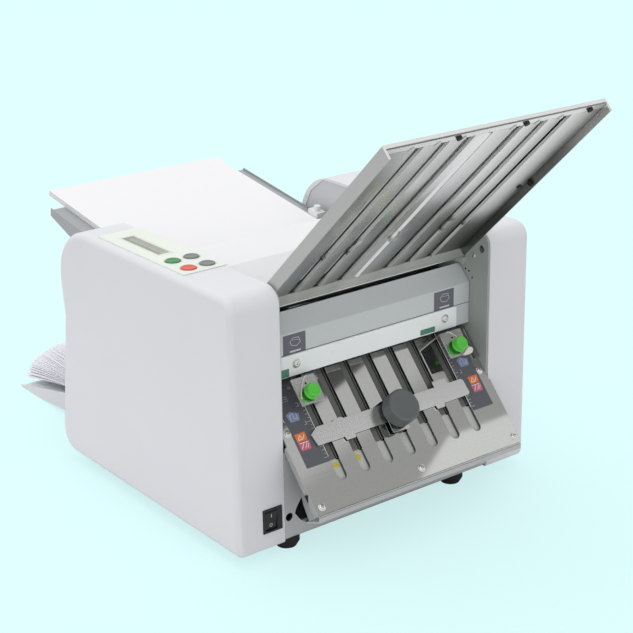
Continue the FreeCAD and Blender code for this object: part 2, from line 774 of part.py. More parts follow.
# ------------------------------------------------------------ drive
mo = fuse(cyl(31, 104, -160, MOTOR[0], MOTOR[1]), cyl(12, 8.3, -168.3, MOTOR[0], MOTOR[1]),
          box(-158, -58, MOTOR[0] - 24, MOTOR[0] + 24, 30, 52),
          box(-158, -58, MOTOR[0] - 30, MOTOR[0] + 30, 3, 31))
mo = cut(mo, cyl(4.1, 60, -172, MOTOR[0], MOTOR[1]))
part(mo, "drive_motor")
part(fuse(cyl(4, 62, -186, 0, 0), cyl(12, 10, -188, 0, 0)), "motor_pulley", x=0, y=MOTOR[0], z=MOTOR[1])


def belt(ca, ra, cb, rb, x0, wide, thick=1.6, gap=0.35):
    """Closed flat belt around two pulleys, built from its tangent lines."""
    (ya, za), (yb, zb) = ca, cb
    out = []
    for extra in (gap + thick, gap):
        r1, r2 = ra + extra, rb + extra
        dy, dz = yb - ya, zb - za
        d = math.hypot(dy, dz)
        base = math.atan2(dz, dy)
        al = math.acos((r1 - r2) / d)
        p = []
        for sg in (1, -1):
            a = base + sg * al
            p.append((V(0, ya + r1 * math.cos(a), za + r1 * math.sin(a)),
                      V(0, yb + r2 * math.cos(a), zb + r2 * math.sin(a))))
        back = V(0, ya - r1 * math.cos(base), za - r1 * math.sin(base))
        fwd = V(0, yb + r2 * math.cos(base), zb + r2 * math.sin(base))
        w = Part.Wire([Part.LineSegment(p[0][0], p[0][1]).toShape(),
                       Part.Arc(p[0][1], fwd, p[1][1]).toShape(),
                       Part.LineSegment(p[1][1], p[1][0]).toShape(),
                       Part.Arc(p[1][0], back, p[0][0]).toShape()])
        out.append(Part.Face(w).extrude(V(wide, 0, 0)))
    sh = out[0].cut(out[1])
    sh.translate(V(x0, 0, 0))
    return sh


f = doc.addObject("Part::Feature", "Belts")
xr = D.frameHalf.v + D.frameThick.v
f.Shape = Part.makeCompound([
    belt((MOTOR[0].v, MOTOR[1].v), 12, (R2[0].v, R2[1].v), 24, -187, 8),
    belt((R1[0].v, R1[1].v), 9, (FEED[0].v, FEED[1].v), 15, xr + 19, 6),
    belt((R4[0].v, R4[1].v), 12, (EXLO[0].v, EXLO[1].v), 12, xr + 19, 6)])
part(f, "timing_belts")

# control board on posts in the left cover, power unit on the base pan
bd = fuse(box(-214, -212.4, 120, 290, 200, 290), box(-212.6, -196, 150, 190, 220, 250),
          cyl(8, 20, -212.6, 240, 250, "x"), cyl(8, 20, -212.6, 262, 250, "x"),
          box(-238.8, -213.8, 122, 128, 202, 208), box(-238.8, -213.8, 282, 288, 282, 288))
part(group(bd, box(-20, 120, 225, 345, 3.1, 58)), "control_board")
inl = cut(box(-223.7, -196.3, D.coverDeep - 30, D.coverDeep + 0.6, 60.3, 87.7),
          box(-221, -199, D.coverDeep - 16, D.coverDeep + 4, 63, 85))
inl = fuse(inl, box(-215, -213.6, D.coverDeep - 17, D.coverDeep - 4, 73, 77),
           box(-206.4, -205, D.coverDeep - 17, D.coverDeep - 4, 73, 77),
           box(-210.7, -209.3, D.coverDeep - 17, D.coverDeep - 4, 79, 83))
part(inl, "power_inlet")

# ---------------------------------------------------- paper path inside
b = body("feed_deck")
s = sketch(b, "YZ_Plane", -1 * D.frameHalf + 0.6)
polygon(s, [(196, 250.35), (344.4, 274.3), (344.4, 262), (342.8, 262), (342.8, 272.5), (196, 248.8)])
pad(b, s, D.frameHalf * 2 - 1.2)
part(b, "feed_deck")
sep = cut(box(-40, 40, 176, 192.5, 226, 249.2), box(-30, 30, 174, 190, 222, 236))
part(fuse(sep, box(-26, 26, 177, 190.4, 249.0, 252.8)), "separator_pad")
b = body("entry_guide")
s = sketch(b, "YZ_Plane", -150)
polygon(s, [(134, 264.0), (172, 266.0), (172, 267.4), (134, 265.4)])
pad(b, s, 300)
g2 = body("exit_guide")
s = sketch(g2, "YZ_Plane", -150)
polygon(s, [(122, 222), (150, 214), (366, 92), (367, 93.4), (150.6, 215.6), (122.4, 223.6)])
pad(g2, s, 300)
part(fuse(b, g2), "paper_guides")

# rear panel between the feed table and the delivery slot
b = body("rear_panel")
s = sketch(b, "XZ_Plane", -404)
rect(s, -1 * D.innerHalf + 0.5, D.innerHalf - 0.5, 134, 262)
pad(b, s, 1.6)
s = sketch(b, "XZ_Plane", -398)
for k in range(5):
    polygon(s, [(-60 + 30 * k - 9, 170), (-60 + 30 * k + 9, 170), (-60 + 30 * k + 9, 173), (-60 + 30 * k - 9, 173)])
    polygon(s, [(-60 + 30 * k - 9, 180), (-60 + 30 * k + 9, 180), (-60 + 30 * k + 9, 183), (-60 + 30 * k - 9, 183)])
pocket(b, s, 20)
part(b, "rear_panel")

# -------------------------------------------------------- feed table
# local axes: x across, y up the slope, z out of the surface
TAB = dict(x=0, y=D.tableY, z=D.tableZ, axis=(1, 0, 0), angle=D.tableSlope)
b = body("feed_table")
s = sketch(b, "XY_Plane", 0)
rect(s, -1 * D.tableHalf, D.tableHalf, 0, D.tableLong)
pad(b, s, D.sheetMetal, rev=True)
for sg in (-1, 1):
    s = sketch(b, "YZ_Plane", sg * D.tableHalf)
    polygon(s, [(0, -1), (0, 2.8), (D.tableLong, 2.8), (D.tableLong, -9), (D.tableLong - 60, -20), (6, -20)])
    pad(b, s, 1.6, rev=(sg > 0))
part(b, "feed_table", **TAB)

# -------------------------------------------------------- delivery tray
b = body("delivery_tray")
s = sketch(b, "YZ_Plane", -1 * D.trayHalf)
polygon(s, [(398, 49), (408.1, 46.5), (408.1, 3.5), (409.6, 3.5), (409.6, 46.1), (560, 9.0), (706, -15.0),
            (706.4, -13.5), (560.4, 10.6), (398.3, 50.5)])
pad(b, s, D.trayHalf * 2)
for sg in (-1, 1):
    s = sketch(b, "YZ_Plane", sg * D.trayHalf)
    polygon(s, [(398, 46), (398, 61.5), (560, 21), (708, -12.2), (706, -15.4), (640, -15.4), (560, -8), (450, 30)])
    pad(b, s, 1.6, rev=(sg > 0))
# three hollow-backed ribs that the folded sheets slide on
for x0 in (-80, -6, 68):
    s = sketch(b, "YZ_Plane", x0)
    polygon(s, [(446, 50.1), (594.4, 16.9), (698, -6.3), (704, -13.8), (560.3, 10.0), (446, 38.0)])
    pad(b, s, 12)
part(b, "delivery_tray")

# sheets: the stack on the feed table and the folded ones in the tray
part(box(-1 * D.paperWide / 2, D.paperWide / 2, 0, D.paperLong, 0, D.stackHigh), "paper_stack",
     x=0, y=192.5, z=250.1, axis=(1, 0, 0), angle=D.tableSlope)
b = body("folded_sheets")
s = sketch(b, "YZ_Plane", -157)
polygon(s, [(442, 51.5), (594.4, 17.4), (700.8, -6.4), (716.0, -6.0), (717.0, -3.0), (711.5, 9.3), (684.5, 35.0),
            (648, 58.6), (621, 75), (584, 91), (540, 92), (500, 84), (465, 72), (442, 61)])
pad(b, s, D.paperWide)
part(b, "folded_sheets")

# ------------------------------------------------- control panel and keys
panel = box(-232, -168, 112, 318, D.coverTop, D.coverTop + 1.25)
holes = [cyl(D.buttonRad + 0.5, 8, x, y, D.coverTop - 3, "z")
         for x, y in ((-212.8, 166.4), (-185.3, 166.4), (-185.3, 130.6), (-212.8, 130.6))]
panel = cut(panel, box(-213, -195.5, 199, 289, D.coverTop - 3, D.coverTop + 4), *holes)
pc = box(-224, -173, 122.6, 306, D.coverTop - 11, D.coverTop - 9.5)
legs = [box(x, x + 5, y, y + 5, D.coverTop - 9.6, D.coverTop + 0.06) for x in (-224, -178) for y in (184, 300)]
part(fuse(panel, pc, *legs), "control_panel")
part(box(-212.8, -195.7, 199.2, 288.8, D.coverTop - 9.5, D.coverTop + 0.9), "display_window")


def button(label, x, y):
    b = body(label)
    s = sketch(b, "XZ_Plane", 0)
    polygon(s, [(0, -7), (D.buttonRad - 1.5, -7), (D.buttonRad - 1.5, -3.4), (D.buttonRad, -3.4),
                (D.buttonRad, 2.2), (D.buttonRad - 0.9, 2.9), (0, 2.9)])
    revolve(b, s)
    return part(b, label, x=x, y=y, z=D.coverTop)


button("button_start", -212.8, 166.4)
button("button_plus", -185.3, 166.4)
button("button_minus", -185.3, 130.6)
button("button_stop", -212.8, 130.6)

# ------------------------------------------------------- mains switch
sw = cut(box(-205, -176.6, -1.6, 16, 23.4, 55.2), box(-202.2, -184.4, -4, 13, 26, 52.6))
part(sw, "switch_housing")
b = body("switch_rocker")
s = sketch(b, "YZ_Plane", -8.6)
polygon(s, [(-1.8, -12.2), (-4.2, 12.2), (4, 12.2), (9, 4), (9, -4), (4, -12.2)])
pad(b, s, 17.2)
part(b, "switch_rocker", x=-193.3, y=2.2, z=39.3)

# --------------------------------------------- lower stop slide and knob
bar = body("stop_bar")
s = sketch(bar, "XY_Plane", 2.0)
polygon(s, [(-129, 0), (-86, 0), (-84.5, -5), (-72, -5), (-70.5, 0), (65.5, 0), (67, -5), (77.5, -5), (79, 0),
            (122, 0), (125, 2.5), (124, 21), (121, 23.5), (98, 23.5), (98, 31.5), (75, 31.5), (75, 23.5),
            (-78, 23.5), (-80, 26), (-91, 26), (-93, 23.5), (-120, 23.5), (-132, 16)])
pad(bar, s, 2.4)
fing = []
for k in (-3, -2, 2, 3):
    fing.append(box(k * D.slotPitch - 3.4, k * D.slotPitch + 3.4, 4, 7, -4.6, 2.2))
stem = box(-5.2, 5.2, 3, 17, -1.5, 2.6)
st_bore = cyl(3.05, 30, 0, 9, -12, "z")
part(cut(fuse(bar, stem, *fing), st_bore), "lower_stop_slide",
     x=0, y=D.lowY + 82.0 * math.cos(math.radians(48)), z=D.lowZ + 82.0 * math.sin(math.radians(48)),
     axis=(1, 0, 0), angle=D.lowAngle)
b = body("lower_stop_knob")
s = sketch(b, "XZ_Plane", 0)
polygon(s, [(0, -4.4), (3, -4.4), (3, 5.0), (9, 5.0), (9, 9), (D.knobRad, 9), (D.knobRad, 28), (D.knobRad - 1.6, 30), (0, 30)])
revolve(b, s)
g = sketch(b, "XY_Plane", 40)
circle(g, D.knobRad + 3.0, 0, 4.2)
pk = pocket(b, g, 50)
polar(b, pk, "Z_Axis", 12)
part(b, "lower_stop_knob", x=0, y=D.lowY + 91.0 * math.cos(math.radians(48)),
     z=D.lowZ + 91.0 * math.sin(math.radians(48)), axis=(1, 0, 0), angle=D.lowAngle)

# format knobs on raised brackets beside the scales
fb = []
for sg in (-1, 1):
    a, c = sorted((sg * 104.5, sg * 141.0))
    top = box(a, c, 130, 166.5, 25.0, 26.6)
    rear = box(a, c, 164.9, 166.5, 0, 26.0)
    fb.append(cut(fuse(top, rear), cyl(3.05, 12, sg * 122.5, 143.5, 20, "z")))
part(group(*fb), "format_brackets", **LOW)


def green(label, x):
    b = body(label)
    s = sketch(b, "XZ_Plane", 0)
    polygon(s, [(0, 20), (3, 20), (3, 26.8), (6, 26.8), (6, 30.2), (D.greenRad + 0.9, 30.2), (D.greenRad + 0.9, 32.6),
                (D.greenRad, 33.2), (D.greenRad - 0.3, 39.3), (D.greenRad - 1.6, 40.5), (0, 40.5)])
    revolve(b, s)
    return part(b, label, x=x, y=D.lowY + 143.5 * math.cos(math.radians(48)),
                z=D.lowZ + 143.5 * math.sin(math.radians(48)), axis=(1, 0, 0), angle=D.lowAngle)


green("format_knob_left", -122.5)
green("format_knob_right", 122.5)

# ---------------------------------------------- upper stop slide and knob
bar = box(-140, 140, 0, 22, -6.2, -3.2)
fing = []
for k in (-3, -2, 2, 3):
    fing.append(box(k * D.slotPitch - 2.2, k * D.slotPitch + 2.2, 6, 10, -3.6, 8.6))
mid = box(-2.2, 2.2, 4, 18, -3.6, 4.4)
part(fuse(bar, mid, *fing), "upper_stop_slide",
     x=0, y=D.upY + 76.0 * math.cos(math.radians(136)), z=D.upZ + 76.0 * math.sin(math.radians(136)),
     axis=(1, 0, 0), angle=D.upAngle)
b = body("upper_stop_knob")
s = sketch(b, "XZ_Plane", 0)
polygon(s, [(0, -24), (15, -24), (16, -23), (16, -8.2), (7, -8.2), (7, -6.4), (0, -6.4)])
revolve(b, s)
part(b, "upper_stop_knob", x=0, y=D.upY + 87.0 * math.cos(math.radians(136)),
     z=D.upZ + 87.0 * math.sin(math.radians(136)), axis=(1, 0, 0), angle=D.upAngle)

# ---------------------------------------------- side guides for the sheets
for label, sg in (("side_guide_left", -1), ("side_guide_right", 1)):
    lo, hi = (D.paperWide / 2 + 0.8, D.paperWide / 2 + 15.8)
    if sg < 0:
        x0, x1 = -1 * hi, -1 * lo
    else:
        x0, x1 = lo, hi
    blk = box(x0, x1, 1, 23, 0.4, 15.6)
    knob = cyl(4.8, 7.4, (x0 + x1) / 2, 12, 15.5, "z")
    part(fuse(blk, knob), label, **TAB)

# screw heads of the marker bar and of the lower plate
heads = group(*[cyl(4.4, 1.8, x, y, 0.02, "z")
                for x, y in ((-160, 9.4), (2, 12.1), (162, 9.4), (-160.5, 109), (160.5, 109))])
place(heads, **LOW)
part(group(heads, *[cyl(4.6, 1.8, x, 32.4, 220, "y") for x in (-123.2, 123.2)]), "front_screws")

# ------------------------------------------------------------- export
doc.recompute()
bad = []
for o in doc.Objects:
    st = [q for q in o.State if q in ("Invalid", "Error")]
    if st:
        bad.append((o.Name, o.Label, st))
if bad:
    raise RuntimeError("failed objects: %s" % bad)
labels = [o.Label for o in PARTS]
if len(set(labels)) != len(labels):
    raise RuntimeError("a label is used twice")
for o in PARTS:
    if o.Shape.isNull() or not o.Shape.isValid() or o.Shape.Volume <= 0:
        raise RuntimeError("bad shape in %s" % o.Label)
    if not o.Shape.Solids:
        raise RuntimeError("no solid in %s" % o.Label)

os.makedirs("parts", exist_ok=True)
bb = None
for o in PARTS:
    o.Shape.exportStep("parts/%s.step" % o.Label)
    if bb is None:
        bb = o.Shape.BoundBox
    else:
        bb.add(o.Shape.BoundBox)
    print("%-22s solids %2d volume %10.1f" % (o.Label, len(o.Shape.Solids), o.Shape.Volume))
print("nodes", len(PARTS))
print("box X %.2f..%.2f  Y %.2f..%.2f  Z %.2f..%.2f" % (bb.XMin, bb.XMax, bb.YMin, bb.YMax, bb.ZMin, bb.ZMax))
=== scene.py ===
import math
import random

import bmesh
import bpy
from mathutils import Matrix, Vector


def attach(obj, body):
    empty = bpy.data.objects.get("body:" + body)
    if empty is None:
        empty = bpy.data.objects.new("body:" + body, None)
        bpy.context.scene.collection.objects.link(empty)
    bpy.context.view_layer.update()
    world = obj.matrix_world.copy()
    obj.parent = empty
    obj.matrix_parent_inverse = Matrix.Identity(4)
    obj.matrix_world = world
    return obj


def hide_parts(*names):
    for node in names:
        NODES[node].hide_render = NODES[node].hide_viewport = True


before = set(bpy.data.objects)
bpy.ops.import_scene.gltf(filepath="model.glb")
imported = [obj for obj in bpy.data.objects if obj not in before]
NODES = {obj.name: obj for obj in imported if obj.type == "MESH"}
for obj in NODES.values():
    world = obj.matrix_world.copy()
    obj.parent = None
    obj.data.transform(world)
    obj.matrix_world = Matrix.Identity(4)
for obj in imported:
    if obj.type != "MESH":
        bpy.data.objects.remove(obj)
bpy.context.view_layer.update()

YS, ZS = -257.665, 16.0          # machine coordinates to the row frame, mm
rng = random.Random(7)
R = math.radians


# ------------------------------------------------------------------ places
def M(x, y, z):
    """Machine coordinates in mm to metres in the row frame."""
    return Vector((x / 1000.0, (y + YS) / 1000.0, (z + ZS) / 1000.0))


def local(y, z, deg):
    return Matrix.Translation(M(0, y, z)) @ Matrix.Rotation(R(deg), 4, "X") @ Matrix.Scale(0.001, 4)


MACH = Matrix.Translation(M(0, 0, 0)) @ Matrix.Scale(0.001, 4)
LOW = local(-67.8, 63.6, 48.0)      # lower fold plate: x, s up the slope, n out of its face
UPP = local(54.0, 311.6, 136.0)     # upper fold plate: x, s up the slope, n out of its underside
TAB = local(345.0, 274.4, 9.17)     # feed table: x, s up the slope, n out of its surface
PAP = local(192.5, 250.1, 9.17)     # stack of sheets


# --------------------------------------------------------------- materials
def new_mat(name, color, rough=0.5, metal=0.0, spec=0.5):
    m = bpy.data.materials.new(name)
    m.use_nodes = True
    nt = m.node_tree
    b = nt.nodes["Principled BSDF"]
    b.inputs["Base Color"].default_value = (*color, 1.0)
    b.inputs["Roughness"].default_value = rough
    b.inputs["Metallic"].default_value = metal
    b.inputs["Specular IOR Level"].default_value = spec
    return m, nt, b


def coords(nt, scale=(1, 1, 1), loc=(0, 0, 0), rot=(0, 0, 0)):
    t = nt.nodes.new("ShaderNodeTexCoord")
    m = nt.nodes.new("ShaderNodeMapping")
    m.inputs["Scale"].default_value = scale
    m.inputs["Location"].default_value = loc
    m.inputs["Rotation"].default_value = rot
    nt.links.new(t.outputs["Object"], m.inputs["Vector"])
    return m.outputs["Vector"]


def noise(nt, vec, scale, detail=4.0, rough=0.55):
    n = nt.nodes.new("ShaderNodeTexNoise")
    n.inputs["Scale"].default_value = scale
    n.inputs["Detail"].default_value = detail
    n.inputs["Roughness"].default_value = rough
    nt.links.new(vec, n.inputs["Vector"])
    return n.outputs["Fac"]


def ramp(nt, fac, lo, hi, c0, c1):
    r = nt.nodes.new("ShaderNodeValToRGB")
    r.color_ramp.elements[0].position = lo
    r.color_ramp.elements[1].position = hi
    r.color_ramp.elements[0].color = (*c0, 1)
    r.color_ramp.elements[1].color = (*c1, 1)
    nt.links.new(fac, r.inputs["Fac"])
    return r.outputs["Color"]


def remap(nt, fac, a, b, c, d, smooth=False):
    r = nt.nodes.new("ShaderNodeMapRange")
    if smooth:
        r.interpolation_type = "SMOOTHSTEP"
    r.inputs["From Min"].default_value = a
    r.inputs["From Max"].default_value = b
    r.inputs["To Min"].default_value = c
    r.inputs["To Max"].default_value = d
    nt.links.new(fac, r.inputs["Value"])
    return r.outputs["Result"]


def calc(nt, op, a, b=None):
    n = nt.nodes.new("ShaderNodeMath")
    n.operation = op
    for i, v in enumerate((a, b)):
        if v is None:
            continue
        if isinstance(v, (int, float)):
            n.inputs[i].default_value = v
        else:
            nt.links.new(v, n.inputs[i])
    return n.outputs[0]


def rounded(nt, radius):
    """Soft edges in the shading, as bent sheet and moulded parts have."""
    n = nt.nodes.new("ShaderNodeBevel")
    n.samples = 4
    n.inputs["Radius"].default_value = radius
    return n.outputs["Normal"]


def bump(nt, b, height, dist, strength=1.0, normal=None):
    n = nt.nodes.new("ShaderNodeBump")
    n.inputs["Strength"].default_value = strength
    n.inputs["Distance"].default_value = dist
    nt.links.new(height, n.inputs["Height"])
    if normal is not None:
        nt.links.new(normal, n.inputs["Normal"])
    nt.links.new(n.outputs["Normal"], b.inputs["Normal"])
    return n.outputs["Normal"]


def tint(c, k):
    return tuple(max(0.0, min(1.0, v * k)) for v in c)


def plastic(name, color, rough=0.45, grain=1400.0, depth=0.00003, vary=0.03, spec=0.45, edge=0.0004):
    """Moulded plastic: faint mottling in colour and gloss, fine surface grain."""
    m, nt, b = new_mat(name, color, rough, 0.0, spec)
    v = coords(nt)
    soft = noise(nt, v, 9.0, 3.0)
    nt.links.new(ramp(nt, soft, 0.3, 0.7, tint(color, 1 - vary), tint(color, 1 + vary)), b.inputs["Base Color"])
    fine = noise(nt, v, grain, 2.0, 0.6)
    nt.links.new(remap(nt, fine, 0.3, 0.7, rough - 0.05, rough + 0.06), b.inputs["Roughness"])
    bump(nt, b, fine, depth, 0.35, rounded(nt, edge) if edge else None)
    return m


def lacquer(name, color, rough=0.38, peel=500.0, depth=0.00004, vary=0.025, metal=0.0, edge=0.0003):
    """Sprayed coating: orange-peel bump, small changes in gloss."""
    m, nt, b = new_mat(name, color, rough, metal, 0.5)
    v = coords(nt)
    soft = noise(nt, v, 6.0, 4.0)
    nt.links.new(ramp(nt, soft, 0.3, 0.7, tint(color, 1 - vary), tint(color, 1 + vary)), b.inputs["Base Color"])
    peelf = noise(nt, v, peel, 2.0, 0.5)
    nt.links.new(remap(nt, soft, 0.3, 0.7, rough - 0.04, rough + 0.05), b.inputs["Roughness"])
    bump(nt, b, peelf, depth, 0.3, rounded(nt, edge) if edge else None)
    return m


def brushed(name, color, rough=0.24, stretch=(4.0, 900.0, 900.0), depth=0.000012, spread=0.08, vary=0.05,
            speck=0.0, edge=0.0003, smudge=1.0):
    """Rolled or brushed metal: long fine scratches along one axis, faint smudges, fine specks."""
    m, nt, b = new_mat(name, color, rough, 1.0, 0.5)
    v = coords(nt, stretch)
    line = noise(nt, v, 1.0, 5.0, 0.6)
    col = ramp(nt, line, 0.3, 0.7, tint(color, 1 - vary), tint(color, 1 + vary))
    plain = coords(nt)
    if speck:
        mx = nt.nodes.new("ShaderNodeMix")
        mx.data_type = "RGBA"
        mx.blend_type = "MULTIPLY"
        mx.inputs[0].default_value = 1.0
        nt.links.new(col, mx.inputs[6])
        dots = noise(nt, plain, 620.0, 3.0, 0.7)
        nt.links.new(ramp(nt, dots, 0.36, 0.64, (1 - speck,) * 3, (1.0, 1.0, 1.0)), mx.inputs[7])
        col = mx.outputs[2]
    nt.links.new(col, b.inputs["Base Color"])
    soft = noise(nt, plain, 14.0, 4.0)
    rr = calc(nt, "ADD", remap(nt, line, 0.3, 0.7, rough - spread / 2, rough + spread / 2),
              remap(nt, soft, 0.3, 0.7, -0.03 * smudge, 0.04 * smudge))
    nt.links.new(rr, b.inputs["Roughness"])
    bump(nt, b, line, depth, 0.25, rounded(nt, edge) if edge else None)
    return m


def cover_plastic(name):
    """Light moulded shell with one long shallow crease pressed into its outer face, and painted shade on its inner
    panel.
    """
    m, nt, b = new_mat(name, (0.70, 0.712, 0.735), 0.40, 0.0, 0.45)
    v = coords(nt)
    soft = noise(nt, v, 7.0, 3.0)
    c = (0.70, 0.712, 0.735)
    # the inner panel, set back from the rim, is painted darker: painted shade inside the shell
    geo = nt.nodes.new("ShaderNodeNewGeometry")
    sn = nt.nodes.new("ShaderNodeSeparateXYZ")
    nt.links.new(geo.outputs["Normal"], sn.inputs["Vector"])
    sx = nt.nodes.new("ShaderNodeSeparateXYZ")
    nt.links.new(v, sx.inputs["Vector"])
    ax = calc(nt, "ABSOLUTE", sx.outputs["X"])
    inner = calc(nt, "MULTIPLY", calc(nt, "GREATER_THAN", ax, 0.1722), calc(nt, "LESS_THAN", ax, 0.1752))
    inner = calc(nt, "MULTIPLY", inner, calc(nt, "GREATER_THAN", calc(nt, "ABSOLUTE", sn.outputs["X"]), 0.9))
    mc = nt.nodes.new("ShaderNodeMix")
    mc.data_type = "RGBA"
    nt.links.new(inner, mc.inputs[0])
    nt.links.new(ramp(nt, soft, 0.3, 0.7, tint(c, 0.99), tint(c, 1.01)), mc.inputs[6])
    mc.inputs[7].default_value = (*tint(c, 0.80), 1.0)
    nt.links.new(mc.outputs[2], b.inputs["Base Color"])
    fine = noise(nt, v, 1500.0, 2.0, 0.6)
    nt.links.new(remap(nt, fine, 0.3, 0.7, 0.36, 0.46), b.inputs["Roughness"])
    # crease: an arc in the side plane, fading out at both ends
    pts = [(378.8, 157.0), (342.0, 138.8), (304.5, 113.0), (265.5, 84.2)]
    (ay, az), (by, bz), (cy, cz) = [(M(0, y, z).y, M(0, y, z).z) for y, z in (pts[0], pts[1], pts[3])]
    dd = 2 * (ay * (bz - cz) + by * (cz - az) + cy * (az - bz))
    uy = ((ay**2 + az**2) * (bz - cz) + (by**2 + bz**2) * (cz - az) + (cy**2 + cz**2) * (az - bz)) / dd
    uz = ((ay**2 + az**2) * (cy - by) + (by**2 + bz**2) * (ay - cy) + (cy**2 + cz**2) * (by - ay)) / dd
    rad = math.hypot(ay - uy, az - uz)
    sep = nt.nodes.new("ShaderNodeSeparateXYZ")
    nt.links.new(v, sep.inputs["Vector"])
    dy = calc(nt, "SUBTRACT", sep.outputs["Y"], uy)
    dz = calc(nt, "SUBTRACT", sep.outputs["Z"], uz)
    dist = calc(nt, "SQRT", calc(nt, "ADD", calc(nt, "MULTIPLY", dy, dy), calc(nt, "MULTIPLY", dz, dz)))
    off = calc(nt, "SUBTRACT", dist, rad)
    ridge = calc(nt, "MULTIPLY", remap(nt, off, -0.006, 0.0, 0.0, 1.0, True), remap(nt, off, 0.0, 0.0022, 1.0, 0.0, True))
    lo, hi = M(0, 250, 0).y, M(0, 395, 0).y
    fade = calc(nt, "MULTIPLY", remap(nt, sep.outputs["Y"], lo, lo + 0.05, 0.0, 1.0, True),
                remap(nt, sep.outputs["Y"], hi - 0.05, hi, 1.0, 0.0, True))
    ridge = calc(nt, "MULTIPLY", ridge, fade)
    n1 = nt.nodes.new("ShaderNodeBump")
    n1.inputs["Distance"].default_value = 0.00035
    n1.inputs["Strength"].default_value = 0.6
    nt.links.new(ridge, n1.inputs["Height"])
    bump(nt, b, fine, 0.00003, 0.35, n1.outputs["Normal"])
    return m


def up_slope(nt, pos):
    """Distance along the upper plate from its lower end, m."""
    o = M(0, 54.0, 311.6)
    cs, sn = math.cos(R(136)), math.sin(R(136))
    return calc(nt, "ADD", calc(nt, "MULTIPLY", calc(nt, "SUBTRACT", pos.outputs["Y"], o.y), cs),
                calc(nt, "MULTIPLY", calc(nt, "SUBTRACT", pos.outputs["Z"], o.z), sn))


def pane_steel(name):
    """Polished under-sheet with painted reflection and shade: every pane is painted darker towards its right edge and
    its lower end.
    """
    m, nt, b = new_mat(name, (0.5, 0.5, 0.49), 0.22, 1.0, 0.5)
    v = coords(nt)
    sep = nt.nodes.new("ShaderNodeSeparateXYZ")
    nt.links.new(v, sep.inputs["Vector"])
    x = sep.outputs["X"]
    t = remap(nt, x, -0.170, 0.170, 0.0, 1.0)
    cr = nt.nodes.new("ShaderNodeValToRGB")
    # painted reflection: brightness of each pane at its left and right edge
    panes = ((-166, 0.40, -124, 0.60), (-110, 0.76, -86, 0.52), (-72, 0.76, -48, 0.48), (-35, 0.82, -17, 0.82),
             (-6, 0.80, 28, 0.46), (40, 0.82, 66, 0.44), (78, 0.84, 103, 0.44), (115, 0.86, 166, 0.40))
    el = cr.color_ramp.elements
    el[0].position, el[1].position = (panes[0][0] + 170) / 340.0, (panes[-1][2] + 170) / 340.0
    for xa, ka, xb, kb in panes:
        if xa > panes[0][0]:
            el.new((xa + 170) / 340.0)
        if xb < panes[-1][2]:
            el.new((xb + 170) / 340.0)
    flat = [k for q in panes for k in (q[1], q[3])]
    for e, k in zip(el, flat):
        e.color = (k, k * 1.0, k * 0.985, 1)
    nt.links.new(t, cr.inputs["Fac"])
    s = up_slope(nt, sep)
    # painted shade: each pane darker towards its lower end and its right edge
    low = remap(nt, s, 0.060, 0.200, 1.0, 0.0, True)
    u = calc(nt, "FRACT", calc(nt, "DIVIDE", calc(nt, "ADD", x, 0.1102), 0.0376))
    right_edge_shade = calc(nt, "MULTIPLY", remap(nt, u, 0.0, 0.678, 0.0, 1.0), calc(nt, "LESS_THAN", u, 0.70))
    middle = calc(nt, "MULTIPLY", calc(nt, "GREATER_THAN", x, -0.037), calc(nt, "LESS_THAN", x, -0.008))
    right_edge_shade = calc(nt, "MULTIPLY", right_edge_shade, calc(nt, "SUBTRACT", 1.0, middle))
    right_edge_shade = calc(nt, "MULTIPLY", right_edge_shade, calc(nt, "LESS_THAN", x, 0.114))
    gain = calc(nt, "SUBTRACT", 1.0, calc(nt, "MULTIPLY", low, calc(nt, "ADD", 0.15, calc(nt, "MULTIPLY", right_edge_shade, 0.50))))
    # painted shade on the lower end of the last pane
    last = calc(nt, "MULTIPLY", remap(nt, x, 0.114, 0.124, 0.0, 1.0, True), remap(nt, s, 0.070, 0.118, 0.60, 0.0, True))
    gain = calc(nt, "MULTIPLY", gain, calc(nt, "SUBTRACT", 1.0, last))
    # painted highlight: a lighter band across the left panes, part way up
    painted_light_band = calc(nt, "MULTIPLY", remap(nt, s, 0.145, 0.190, 0.0, 1.0, True), remap(nt, s, 0.225, 0.275, 1.0, 0.0, True))
    painted_light_band = calc(nt, "MULTIPLY", painted_light_band, calc(nt, "MULTIPLY", remap(nt, x, -0.140, -0.130, 0.0, 0.42, True), remap(nt, x, -0.055, -0.045, 1.0, 0.0, True)))
    gain = calc(nt, "MULTIPLY", gain, calc(nt, "ADD", 1.0, painted_light_band))
    fine = noise(nt, coords(nt, (900.0, 6.0, 6.0)), 1.0, 5.0, 0.6)
    gain = calc(nt, "MULTIPLY", gain, remap(nt, fine, 0.3, 0.7, 0.93, 1.0))
    mx = nt.nodes.new("ShaderNodeMix")
    mx.data_type = "RGBA"
    mx.blend_type = "MULTIPLY"
    mx.inputs[0].default_value = 1.0
    nt.links.new(cr.outputs["Color"], mx.inputs[6])
    nt.links.new(gain, mx.inputs[7])
    nt.links.new(mx.outputs[2], b.inputs["Base Color"])
    nt.links.new(calc(nt, "ADD", remap(nt, fine, 0.3, 0.7, 0.20, 0.27), remap(nt, x, 0.04, 0.12, 0.0, 0.20, True)),
                 b.inputs["Roughness"])
    bump(nt, b, fine, 0.00001, 0.25, rounded(nt, 0.0003))
    return m


